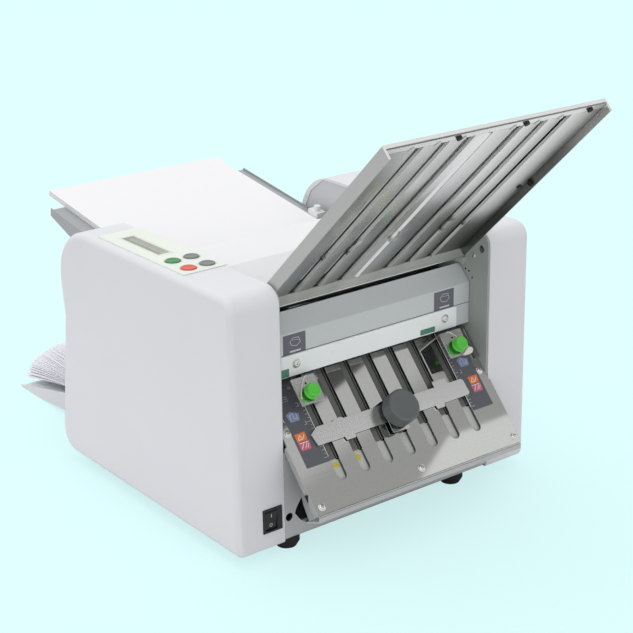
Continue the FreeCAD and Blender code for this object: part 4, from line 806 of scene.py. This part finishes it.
# ------------------------------------------------------- films and stickers
for tag, sg in (("left", -1), ("right", 1)):
    b = Build(LOW)
    b.prism(round_rect(*sorted((sg * 120.5, sg * 156.0)), 60.0, 182.5, 1.0), 0.02, 0.16, 0)
    b.done("scale_film_" + tag, MAT["strip"], "machine")
    # tick marks, sheet symbols and one-stroke numbers in pale ink
    b = Build(LOW)
    for k in range(22):
        s = 66 + 5 * k
        ln = 5.0 if k % 5 == 0 else (3.4 if k % 5 in (2, 3) else 2.2)
        xa = sg * 121.4
        b.slab(*sorted((xa, xa + sg * ln)), s - 0.28, s + 0.28, 0.17, 0.24, 0)
    for k, s in enumerate((116, 141, 166)):
        cx = sg * 130.0
        for p, q in (((cx - 1.6, s - 2.4), (cx + 1.6, s - 2.4)), ((cx + 1.6, s - 2.4), (cx + 1.6, s + 2.4)),
                     ((cx + 1.6, s + 2.4), (cx - 1.6, s + 2.4)), ((cx - 1.6, s + 2.4), (cx - 1.6, s - 2.4)))[:2 + k]:
            b.prism(bar_2d(p, q, 0.55), 0.17, 0.24, 0)
    for cx, s in ((sg * 144, 152), (sg * 146, 166)):
        for p, q in (((cx - 4, s - 3), (cx + 4, s - 3)), ((cx + 4, s - 3), (cx + 4, s + 3)),
                     ((cx + 4, s + 3), (cx - 4, s + 3)), ((cx - 4, s + 3), (cx - 4, s - 3)),
                     ((cx - 4, s), (cx + 4, s))):
            b.prism(bar_2d(p, q, 0.4), 0.17, 0.24, 0)
    b.done("scale_marks_" + tag, MAT["ink_white"], "machine")
    # three coloured fold symbols
    b = Build(LOW)
    m = sg
    b.prism([(m * 142 - 9.6, 131.5), (m * 142 - 3, 135.0), (m * 142 + 9.2, 130.2), (m * 142 + 6.6, 121.0),
             (m * 142 - 7.2, 121.0)], 0.17, 0.28, 0)
    b.done("fold_symbol_blue_" + tag, MAT["ink_blue"], "machine")
    b = Build(LOW)
    b.prism([(m * 144.5 - 8.2, 105.2), (m * 144.5 + 8.0, 105.6), (m * 144.5 + 7.2, 94.6), (m * 144.5 - 8.0, 94.2)],
            0.17, 0.28, 0)
    b.done("fold_symbol_orange_" + tag, MAT["ink_orange"], "machine")
    b = Build(LOW)
    b.prism([(m * 144.0 - 8.6, 93.6), (m * 144.0 + 8.6, 93.8), (m * 144.0 + 7.0, 82.4), (m * 144.0 - 8.2, 82.8)],
            0.17, 0.28, 0)
    b.done("fold_symbol_pink_" + tag, MAT["ink_pink"], "machine")
    b = Build(LOW)
    cx = m * 142
    for p, q in (((cx - 5, 124), (cx - 5, 130)), ((cx - 5, 130), (cx, 132)), ((cx, 132), (cx, 125)),
                 ((cx, 125), (cx + 5, 124)), ((cx + 5, 124), (cx + 5, 130))):
        b.prism(bar_2d(p, q, 0.55), 0.29, 0.34, 0)
    cx = m * 144.5
    for p, q in (((cx - 5.4, 97), (cx - 1.5, 103)), ((cx - 1.5, 103), (cx + 1.5, 97)), ((cx + 1.5, 97), (cx + 5.6, 102.6)),
                 ((cx - 5.4, 97), (cx + 1.5, 97))):
        b.prism(bar_2d(p, q, 0.95), 0.29, 0.34, 0)
    cx = m * 144.0
    for p, q in (((cx - 6, 85), (cx - 1, 91.4)), ((cx - 1, 85), (cx + 4, 91.4)), ((cx + 2.5, 85), (cx + 6.4, 90.4)),
                 ((cx - 6.6, 92.4), (cx + 6.8, 92.6))):
        b.prism(bar_2d(p, q, 0.95), 0.29, 0.34, 0)
    b.done("fold_symbol_lines_" + tag, MAT["ink_pale"], "machine")

# pale strip at the cut edge between the outer slots and the films: a painted highlight
b = Build(LOW)
for sg in (-1, 1):
    b.slab(*sorted((sg * 119.4, sg * 120.15)), 66.0, 176.0, -1.0, 0.12, 0)
b.done("slot_edge_highlights", MAT["pointer"], "machine")

# rolled hem along the lower edge of the plate, over the cradle lip
b = Build(MACH)
b.rope([(-168.8, -67.75, 62.0), (168.8, -67.75, 62.0)], 0.95, 14)
b.done("plate_hem", MAT["satin"], "machine", smooth=60)

# yellow dots seen through two slots
b = Build(LOW)
for x, s in ((-111.6, 53.6), (-76.8, 53.8)):
    b.prism(disc(x, s, 4.1), -4.98, -4.82, 0)
b.done("yellow_dots", MAT["yellow"], "machine")

# sheet symbols on the front cover
for tag, sg in (("left", -1), ("right", 1)):
    b = Build(MACH)
    x0, x1 = sorted((sg * 106.3, sg * 141.0))
    b.prism(round_rect(x0, x1, 232.9, 258.8, 0.8), 36.46, 36.66, 0, "xz")
    b.done("sheet_symbol_film_" + tag, MAT["picto"], "machine")
    b = Build(MACH)
    cx, cz = (x0 + x1) / 2 + 1.5, 247.6
    sheet = [(cx - 8.5, cz + 1.5), (cx - 3.0, cz + 6.2), (cx + 5.2, cz + 5.4), (cx + 7.8, cz - 1.4), (cx + 2.0, cz - 5.2),
             (cx - 5.8, cz - 3.6)]
    for i in range(6):
        b.prism(bar_2d(sheet[i], sheet[(i + 1) % 6], 0.75), 36.36, 36.46, 0, "xz")
    b.prism(bar_2d((cx - 6, cz + 3.6), (cx + 6.4, cz + 2.2), 0.5), 36.36, 36.46, 0, "xz")
    b.prism(bar_2d((cx - 9, 236.0), (cx + 8, 236.0), 2.1), 36.36, 36.46, 0, "xz")
    b.done("sheet_symbol_lines_" + tag, MAT["ink_white"], "machine")

# clear green markers stuck to the lower edge of the white bar
for tag, (x0, x1, z0, z1) in (("left", (-147.6, -134.6, 205.0, 215.8)), ("right", (80.6, 106.0, 205.8, 213.4))):
    b = Build(MACH)
    b.prism(round_rect(x0, x1, z0, z1, 0.9), 33.95, 34.19, 0, "xz")
    b.done("green_marker_" + tag, MAT["teal"], "machine", bevel=0.08)

# split line between the two painted sheets at both ends of the front cover
b = Build(MACH)
b.slab(144.6, 168.6, 36.50, 36.69, 232.3, 233.0, 0)
b.slab(-168.6, -148.2, 36.50, 36.69, 232.3, 233.0, 0)
b.slab(-147.6, 144.0, 36.40, 36.69, 232.64, 233.1, 0)
b.done("front_split_line", MAT["dark_hole"], "machine")

# ribbed under-sheet of the upper plate: panes with raised lips along the slots; the lips are light grey and the flared
# lip of the fourth pane near-white, as painted highlights
b = Build(UPP)
half = 166.8
gaps = [(37.6 * k - 9.5, 37.6 * k + 2.6) if k else (-8.4, -6.5) for k in range(-3, 4)]
starts = [-half] + [g1 for g0, g1 in gaps]
ends = [g0 for g0, g1 in gaps] + [half]
for i, (x0, x1) in enumerate(zip(starts, ends)):
    lip0 = i > 0 and i != 4
    flare = i == 3
    if flare:
        x1 = -16.5
    n = 10
    topl, low = [], []
    for q in range(n + 1):
        u = q / n
        x = x0 + (x1 - x0) * u
        topl.append((x, 6.5 + 0.35 * math.sin(math.pi * u)))
        low.append((x, 5.1 + 0.35 * math.sin(math.pi * u)))
    if flare:
        topl.append((-11.2, 8.2))
        low.append((-11.2, 7.5))
    prof = [topl[0]] + topl[1:]
    if lip0:
        prof = [(x0, 3.8), (x0, 7.4), (x0 + 0.4, 7.55), (x0 + 0.9, 7.5), (x0 + 1.8, 6.7)] + topl[1:]
        low = [(x0 + 0.8, 3.8), (x0 + 0.8, 5.1)] + low[1:]
    ring = prof + low[::-1]
    rows = []
    for s in (-2.6, 328.5):
        rows.append([b.bm.verts.new((x, s, z)) for x, z in ring])
    for q in range(len(ring)):
        r2 = (q + 1) % len(ring)
        mi = 1 if lip0 and q in (0, 1) else (3 if flare and q == len(prof) - 2 else 0)
        b.face([rows[0][q], rows[0][r2], rows[1][r2], rows[1][q]], mi)
    b.face(rows[0][::-1], 0)
    b.face(rows[1], 0)
b.slab(-half, half, -5.2, -2.6, 5.1, 6.6, 2)
b.slab(-half, half, 328.5, 338.4, 5.1, 6.6, 2)
b.done("under_sheet_panes", [MAT["pane"], MAT["slot_lip"], MAT["pane_end"], MAT["flare"]], "machine", ("upper_under_sheet",), smooth=30, bevel=0.25)

# turned-up corners at the upper ends of the slots, light grey as a painted highlight
b = Build(UPP)
for k, (g0, g1) in zip(range(-3, 4), gaps):
    if k:
        b.prism([(g0 - 8.6, 325.6), (g0 - 0.6, 326.2), (g0 - 1.2, 331.6), (g0 - 4.4, 332.4)], 6.52, 7.5, 0)
b.done("slot_corners", MAT["slot_lip"], "machine", bevel=0.2)

# screw and small holes in both side frames beside the plate's lower end; the holes are thin black discs as painted
# shade
b = Build(MACH)
d = Build(MACH)
for sg in (-1, 1):
    xf = sg * 169.46
    for y, z, q in ((45.0, 277.2, 1.5), (38.3, 275.6, 1.4), (31.7, 267.9, 1.5)):
        b.prism(disc(y, z, q), *sorted((xf, xf - sg * 0.08)), 0, "yz")
    d.screw(29.1, 299.3, xf, 3.6, 1.7, 0.4, 0, "yz", -sg)
    d.screw(20.8, 327.0, xf, 2.3, 1.2, 0.9, 0, "yz", -sg)
b.done("frame_holes", MAT["dark_hole"], "machine")
d.done("frame_screws", MAT["nickel"], "machine", smooth=40)

# rolled lower edge of the upper plate's end wall
b = Build(UPP)
b.rope([(-168.6, -6.2, 17.4), (168.6, -6.2, 17.4)], 0.8, 14)
b.done("upper_plate_hem", MAT["pane_end"], "machine", smooth=60)

# bright clips of the upper stop, seen in the slots of the under-sheet
b = Build(UPP)
for x in (-75.2, 75.2):
    b.slab(x - 1.8, x + 1.8, 88.0, 96.0, -3.4, 5.4, 0)
    b.slab(x - 1.8, x + 1.8, 88.0, 115.0, 5.4, 6.4, 0)
    b.slab(x - 1.8, x + 1.8, 106.0, 115.0, 6.4, 7.7, 0)
    b.slab(x - 4.4, x + 4.4, 106.0, 115.0, 7.7, 9.0, 0)
b.slab(-1.0, 1.0, 88.0, 96.0, -3.4, 4.1, 0)
b.slab(-8.0, 1.0, 88.0, 96.0, 4.1, 4.9, 0)
b.slab(-8.0, -6.9, 88.0, 96.0, 4.9, 8.3, 0)
b.prism([(-18.0, 92.0), (-8.0, 89.0), (-5.6, 89.0), (-5.6, 114.0), (-14.0, 115.0), (-14.0, 110.0), (-9.6, 109.0),
         (-9.6, 98.0), (-18.0, 98.0)], 8.3, 9.4, 0)
b.done("upper_stop_clips", MAT["nickel"], "upper_stop", bevel=0.2)

# -------------------------------------------------------------- screw heads
b = Build(LOW)
for k, (x, s) in enumerate(((-160, 9.4), (2, 12.1), (162, 9.4), (-160.5, 109), (160.5, 109))):
    b.lathe([(5.1, 0.02), (5.1, 0.5), (4.9, 0.62), (3.0, 0.62)], x, s, 36)
    b.screw(x, s, 0.5, 4.2, 2.0, 0.3 + 0.7 * k)
o1 = b.done("plate_screws", MAT["nickel"], "machine", ("front_screws",), smooth=40)
b = Build(MACH)
for k, x in enumerate((-123.2, 123.2)):
    b.lathe([(6.2, 0.0), (6.2, -0.5), (6.0, -0.62), (3.0, -0.62)], x, 220, 36, 0, None, "xz", 34.2)
    b.screw(x, 220, 33.7, 4.7, 2.2, 0.5 + 0.6 * k, 0, "xz", -1.0)
b.done("bar_screws", MAT["nickel"], "machine", (), smooth=40)

# ---------------------------------------------------------- panel and keys
KEYS = (("start", -212.8, 166.4, "key_green", "start_key", "key_green"), ("plus", -185.3, 166.4, "key_grey", "plus_key", "key_grey"),
        ("minus", -185.3, 130.6, "key_grey", "minus_key", "key_grey"), ("stop", -212.8, 130.6, "key_red", "stop_key", "key_red"))
for nm, x, y, mk, body, sl in KEYS:
    b = Build(MACH @ Matrix.Translation((x, y, 338.4)))
    b.lathe([(0, -7), (8.5, -7), (8.5, -3.4), (9.98, -3.4), (9.98, 1.7), (9.75, 2.35), (9.2, 2.75), (8.5, 2.88), (7.7, 2.7),
             (6.4, 2.2), (4.0, 1.85), (0, 1.72)], seg=56)
    b.done("key_cap_" + nm, MAT[mk], body, ("button_" + nm,), smooth=42)
    b = Build(MACH @ Matrix.Translation((x, y, 338.4)))
    ring = [(12.4 * math.cos(2 * math.pi * i / 48), 12.4 * math.sin(2 * math.pi * i / 48)) for i in range(48)]
    pin = [(10.7 * math.cos(2 * math.pi * i / 48), 10.7 * math.sin(2 * math.pi * i / 48)) for i in range(48)]
    for i in range(48):
        j = (i + 1) % 48
        b.prism([ring[i], ring[j], pin[j], pin[i]], 1.25, 1.30, 0)
    b.done("key_ring_" + nm, MAT["panel_in"], "machine")
b = Build(MACH)
for x0, x1, y0, y1 in ((-216.2, -213.6, 194.5, 293.0), (-195.0, -192.4, 194.5, 293.0), (-213.6, -195.0, 194.5, 198.6),
                       (-213.6, -195.0, 289.4, 293.0)):
    b.slab(x0, x1, y0, y1, 339.65, 339.72, 0)
b.done("display_border", MAT["panel_in"], "machine")
b = Build(MACH)
b.slab(-212.4, -206.6, 203.0, 286.0, 339.30, 339.36, 0)
b.slab(-212.4, -196.1, 282.0, 287.6, 339.30, 339.37, 0)
for k in range(16):
    y = 208 + 4.6 * k
    b.slab(-203.6, -201.4, y, y + 2.6, 339.30, 339.35, 0)
    b.slab(-200.2, -198.0, y, y + 2.6, 339.30, 339.35, 0)
b.done("display_face", MAT["lcd_dark"], "machine")

# ------------------------------------------------------------ mains switch
b = Build(MACH @ Matrix.Translation((-193.3, 2.2, 39.3)))
# the rocker's own face leans from y=-1.8 at the bottom to y=-4.2 at the top
tilt = math.atan2(2.4, 24.4)


def on_face(dx, dz):
    return (dx, -3.0 - 2.4 * dz / 24.4)


def dash(x0, x1, z0, z1):
    v = []
    for yoff in (-0.02, -0.14):
        for x, z in ((x0, z0), (x1, z0), (x1, z1), (x0, z1)):
            v.append(b.bm.verts.new((x, -3.0 - 2.4 * z / 24.4 + yoff, z)))
    for f in ((0, 1, 2, 3), (4, 5, 6, 7), (0, 1, 5, 4), (1, 2, 6, 5), (2, 3, 7, 6), (3, 0, 4, 7)):
        b.face([v[i] for i in f])


dash(-0.45, 0.45, 4.4, 9.0)
for k in range(20):
    a0, a1 = 2 * math.pi * k / 20, 2 * math.pi * (k + 1) / 20
    x0, z0, x1, z1 = 2.4 * math.cos(a0), -6.6 + 2.4 * math.sin(a0), 2.4 * math.cos(a1), -6.6 + 2.4 * math.sin(a1)
    xi0, zi0, xi1, zi1 = 1.7 * math.cos(a0), -6.6 + 1.7 * math.sin(a0), 1.7 * math.cos(a1), -6.6 + 1.7 * math.sin(a1)
    v = []
    for yoff in (-0.02, -0.14):
        for x, z in ((x0, z0), (x1, z1), (xi1, zi1), (xi0, zi0)):
            v.append(b.bm.verts.new((x, -3.0 - 2.4 * z / 24.4 + yoff, z)))
    for f in ((0, 1, 2, 3), (4, 5, 6, 7), (0, 1, 5, 4), (1, 2, 6, 5), (2, 3, 7, 6), (3, 0, 4, 7)):
        b.face([v[i] for i in f])
b.done("switch_marks", MAT["ink_white"], "mains_rocker")

# ------------------------------------------------------------------ camera
a, e, r = math.radians(-37.172), math.radians(20.299), math.radians(-1.086)
back = Vector((math.sin(a) * math.cos(e), -math.cos(a) * math.cos(e), math.sin(e)))
fwd = -back
right = fwd.cross(Vector((0, 0, 1))).normalized()
up = right.cross(fwd).normalized()
rr = right * math.cos(r) + up * math.sin(r)
uu = up * math.cos(r) - right * math.sin(r)
cam = bpy.data.objects.new("camera", bpy.data.cameras.new("camera"))
bpy.context.scene.collection.objects.link(cam)
cam.data.sensor_width = 36.0
cam.data.lens = 1589.8 / 633.0 * 36.0
cam.data.clip_start, cam.data.clip_end = 0.05, 60.0
rot = Matrix((rr, uu, back)).transposed()
cam.matrix_world = Matrix.Translation(M(-1207.9, -1439.65, 958.12)) @ rot.to_4x4()
bpy.context.scene.camera = cam

# ------------------------------------------------------------ floor, lights
PALE = (0.745, 1.0, 1.0)
bm = bmesh.new()
bmesh.ops.create_grid(bm, x_segments=4, y_segments=4, size=9.0)
me = bpy.data.meshes.new("floor")
bm.to_mesh(me)
bm.free()
floor = bpy.data.objects.new("floor", me)
bpy.context.scene.collection.objects.link(floor)
fm = bpy.data.materials.new("floor_paper")
fm.use_nodes = True
nt = fm.node_tree
nt.nodes.clear()
out = nt.nodes.new("ShaderNodeOutputMaterial")
fv = coords(nt)
# what the object sees: a pale table top that gives way to a darker room
sep = nt.nodes.new("ShaderNodeSeparateXYZ")
nt.links.new(fv, sep.inputs["Vector"])
rad = calc(nt, "SQRT", calc(nt, "ADD", calc(nt, "MULTIPLY", sep.outputs["X"], sep.outputs["X"]),
                            calc(nt, "MULTIPLY", sep.outputs["Y"], sep.outputs["Y"])))
far = remap(nt, rad, 0.75, 1.9, 0.0, 1.0, True)
bounce = nt.nodes.new("ShaderNodeBsdfDiffuse")
nt.links.new(ramp(nt, far, 0.0, 1.0, (0.84, 0.845, 0.85), (0.52, 0.525, 0.53)), bounce.inputs["Color"])
seen = nt.nodes.new("ShaderNodeBsdfDiffuse")
nt.links.new(ramp(nt, noise(nt, fv, 3.0), 0.2, 0.8, (0.738, 0.985, 0.985), (0.746, 0.995, 0.995)), seen.inputs["Color"])
glow = nt.nodes.new("ShaderNodeEmission")
glow.inputs["Color"].default_value = (*PALE, 1)
glow.inputs["Strength"].default_value = 1.0
m1 = nt.nodes.new("ShaderNodeMixShader")
m1.inputs[0].default_value = 0.76
nt.links.new(seen.outputs[0], m1.inputs[1])
nt.links.new(glow.outputs[0], m1.inputs[2])
lp = nt.nodes.new("ShaderNodeLightPath")
m2 = nt.nodes.new("ShaderNodeMixShader")
nt.links.new(lp.outputs["Is Camera Ray"], m2.inputs[0])
nt.links.new(bounce.outputs[0], m2.inputs[1])
nt.links.new(m1.outputs[0], m2.inputs[2])
nt.links.new(m2.outputs[0], out.inputs["Surface"])
me.materials.append(fm)

w = bpy.data.worlds.new("studio")
bpy.context.scene.world = w
w.use_nodes = True
wn = w.node_tree
bg = wn.nodes["Background"]
tc = wn.nodes.new("ShaderNodeTexCoord")
sep = wn.nodes.new("ShaderNodeSeparateXYZ")
wn.links.new(tc.outputs["Generated"], sep.inputs["Vector"])
elev = calc(wn, "ARCSINE", sep.outputs["Z"])
azim = calc(wn, "ARCTAN2", sep.outputs["X"], calc(wn, "MULTIPLY", sep.outputs["Y"], -1.0))
base = remap(wn, elev, 0.0, R(80), 0.85, 1.34)
# bands between the wall panel at the front right and the overhead light, degrees
ed = calc(wn, "MULTIPLY", elev, 180.0 / math.pi)
ad = calc(wn, "MULTIPLY", azim, 180.0 / math.pi)


def step(value, width):
    return remap(wn, value, -width / 2, width / 2, 0.0, 1.0, True)


def mixed(a, b, k):
    """a where k is 0, b where k is 1"""
    return calc(wn, "ADD", calc(wn, "MULTIPLY", a, calc(wn, "SUBTRACT", 1.0, k)), calc(wn, "MULTIPLY", b, k))


t1 = calc(wn, "SUBTRACT", 38.72, calc(wn, "MULTIPLY", calc(wn, "MAXIMUM", calc(wn, "SUBTRACT", ad, 51.6), 0.0), 0.62))
t2 = calc(wn, "SUBTRACT", 42.3, calc(wn, "MULTIPLY", calc(wn, "SUBTRACT", ad, 45.0), 0.20))
t3 = calc(wn, "SUBTRACT", 43.9, calc(wn, "MULTIPLY", calc(wn, "SUBTRACT", ad, 47.0), 0.24))
band = mixed(0.93, 0.47, step(calc(wn, "SUBTRACT", ed, t1), 0.14))
band = mixed(band, 0.64, step(calc(wn, "SUBTRACT", ed, t2), 0.9))
band = mixed(band, 0.10, step(calc(wn, "SUBTRACT", ed, t3), 0.14))
d2 = calc(wn, "SUBTRACT", calc(wn, "SUBTRACT", ad, 53.7), calc(wn, "MULTIPLY", calc(wn, "SUBTRACT", ed, 40.2), 0.56))
d3 = calc(wn, "ADD", calc(wn, "SUBTRACT", ed, 40.25), calc(wn, "MULTIPLY", calc(wn, "SUBTRACT", ad, 53.9), 1.3))
band = mixed(band, 0.10, calc(wn, "MULTIPLY", step(d2, 0.14), step(d3, 0.14)))
band = mixed(band, 1.0, remap(wn, ed, 57.0, 68.0, 0.0, 1.0, True))
side = calc(wn, "MULTIPLY", remap(wn, azim, R(12), R(30), 0.0, 1.0, True), remap(wn, azim, R(72), R(92), 1.0, 0.0, True))
level = calc(wn, "MULTIPLY", base, mixed(1.0, band, side))
comb = wn.nodes.new("ShaderNodeCombineColor")
wn.links.new(level, comb.inputs[0])
wn.links.new(level, comb.inputs[1])
wn.links.new(calc(wn, "MULTIPLY", level, 1.01), comb.inputs[2])
lpw = wn.nodes.new("ShaderNodeLightPath")
mw = wn.nodes.new("ShaderNodeMix")
mw.data_type = "RGBA"
wn.links.new(lpw.outputs["Is Camera Ray"], mw.inputs[0])
wn.links.new(comb.outputs[0], mw.inputs[6])
mw.inputs[7].default_value = (*PALE, 1)
wn.links.new(mw.outputs[2], bg.inputs["Color"])
bg.inputs["Strength"].default_value = 1.0


def area(name, loc, target, size, power, color=(1, 1, 1)):
    d = bpy.data.lights.new(name, "AREA")
    d.shape = "RECTANGLE"
    d.size, d.size_y = size
    d.energy = power
    d.color = color
    o = bpy.data.objects.new(name, d)
    bpy.context.scene.collection.objects.link(o)
    o.location = loc
    o.rotation_mode = "QUATERNION"
    o.rotation_quaternion = (Vector(loc) - Vector(target)).to_track_quat("Z", "Y")
    return o


area("key_top", (-0.5, 0.3, 2.4), (0, 0, 0.2), (1.8, 1.8), 5.0)

bpy.context.scene.view_settings.view_transform = "Standard"
bpy.context.scene.view_settings.look = "None"
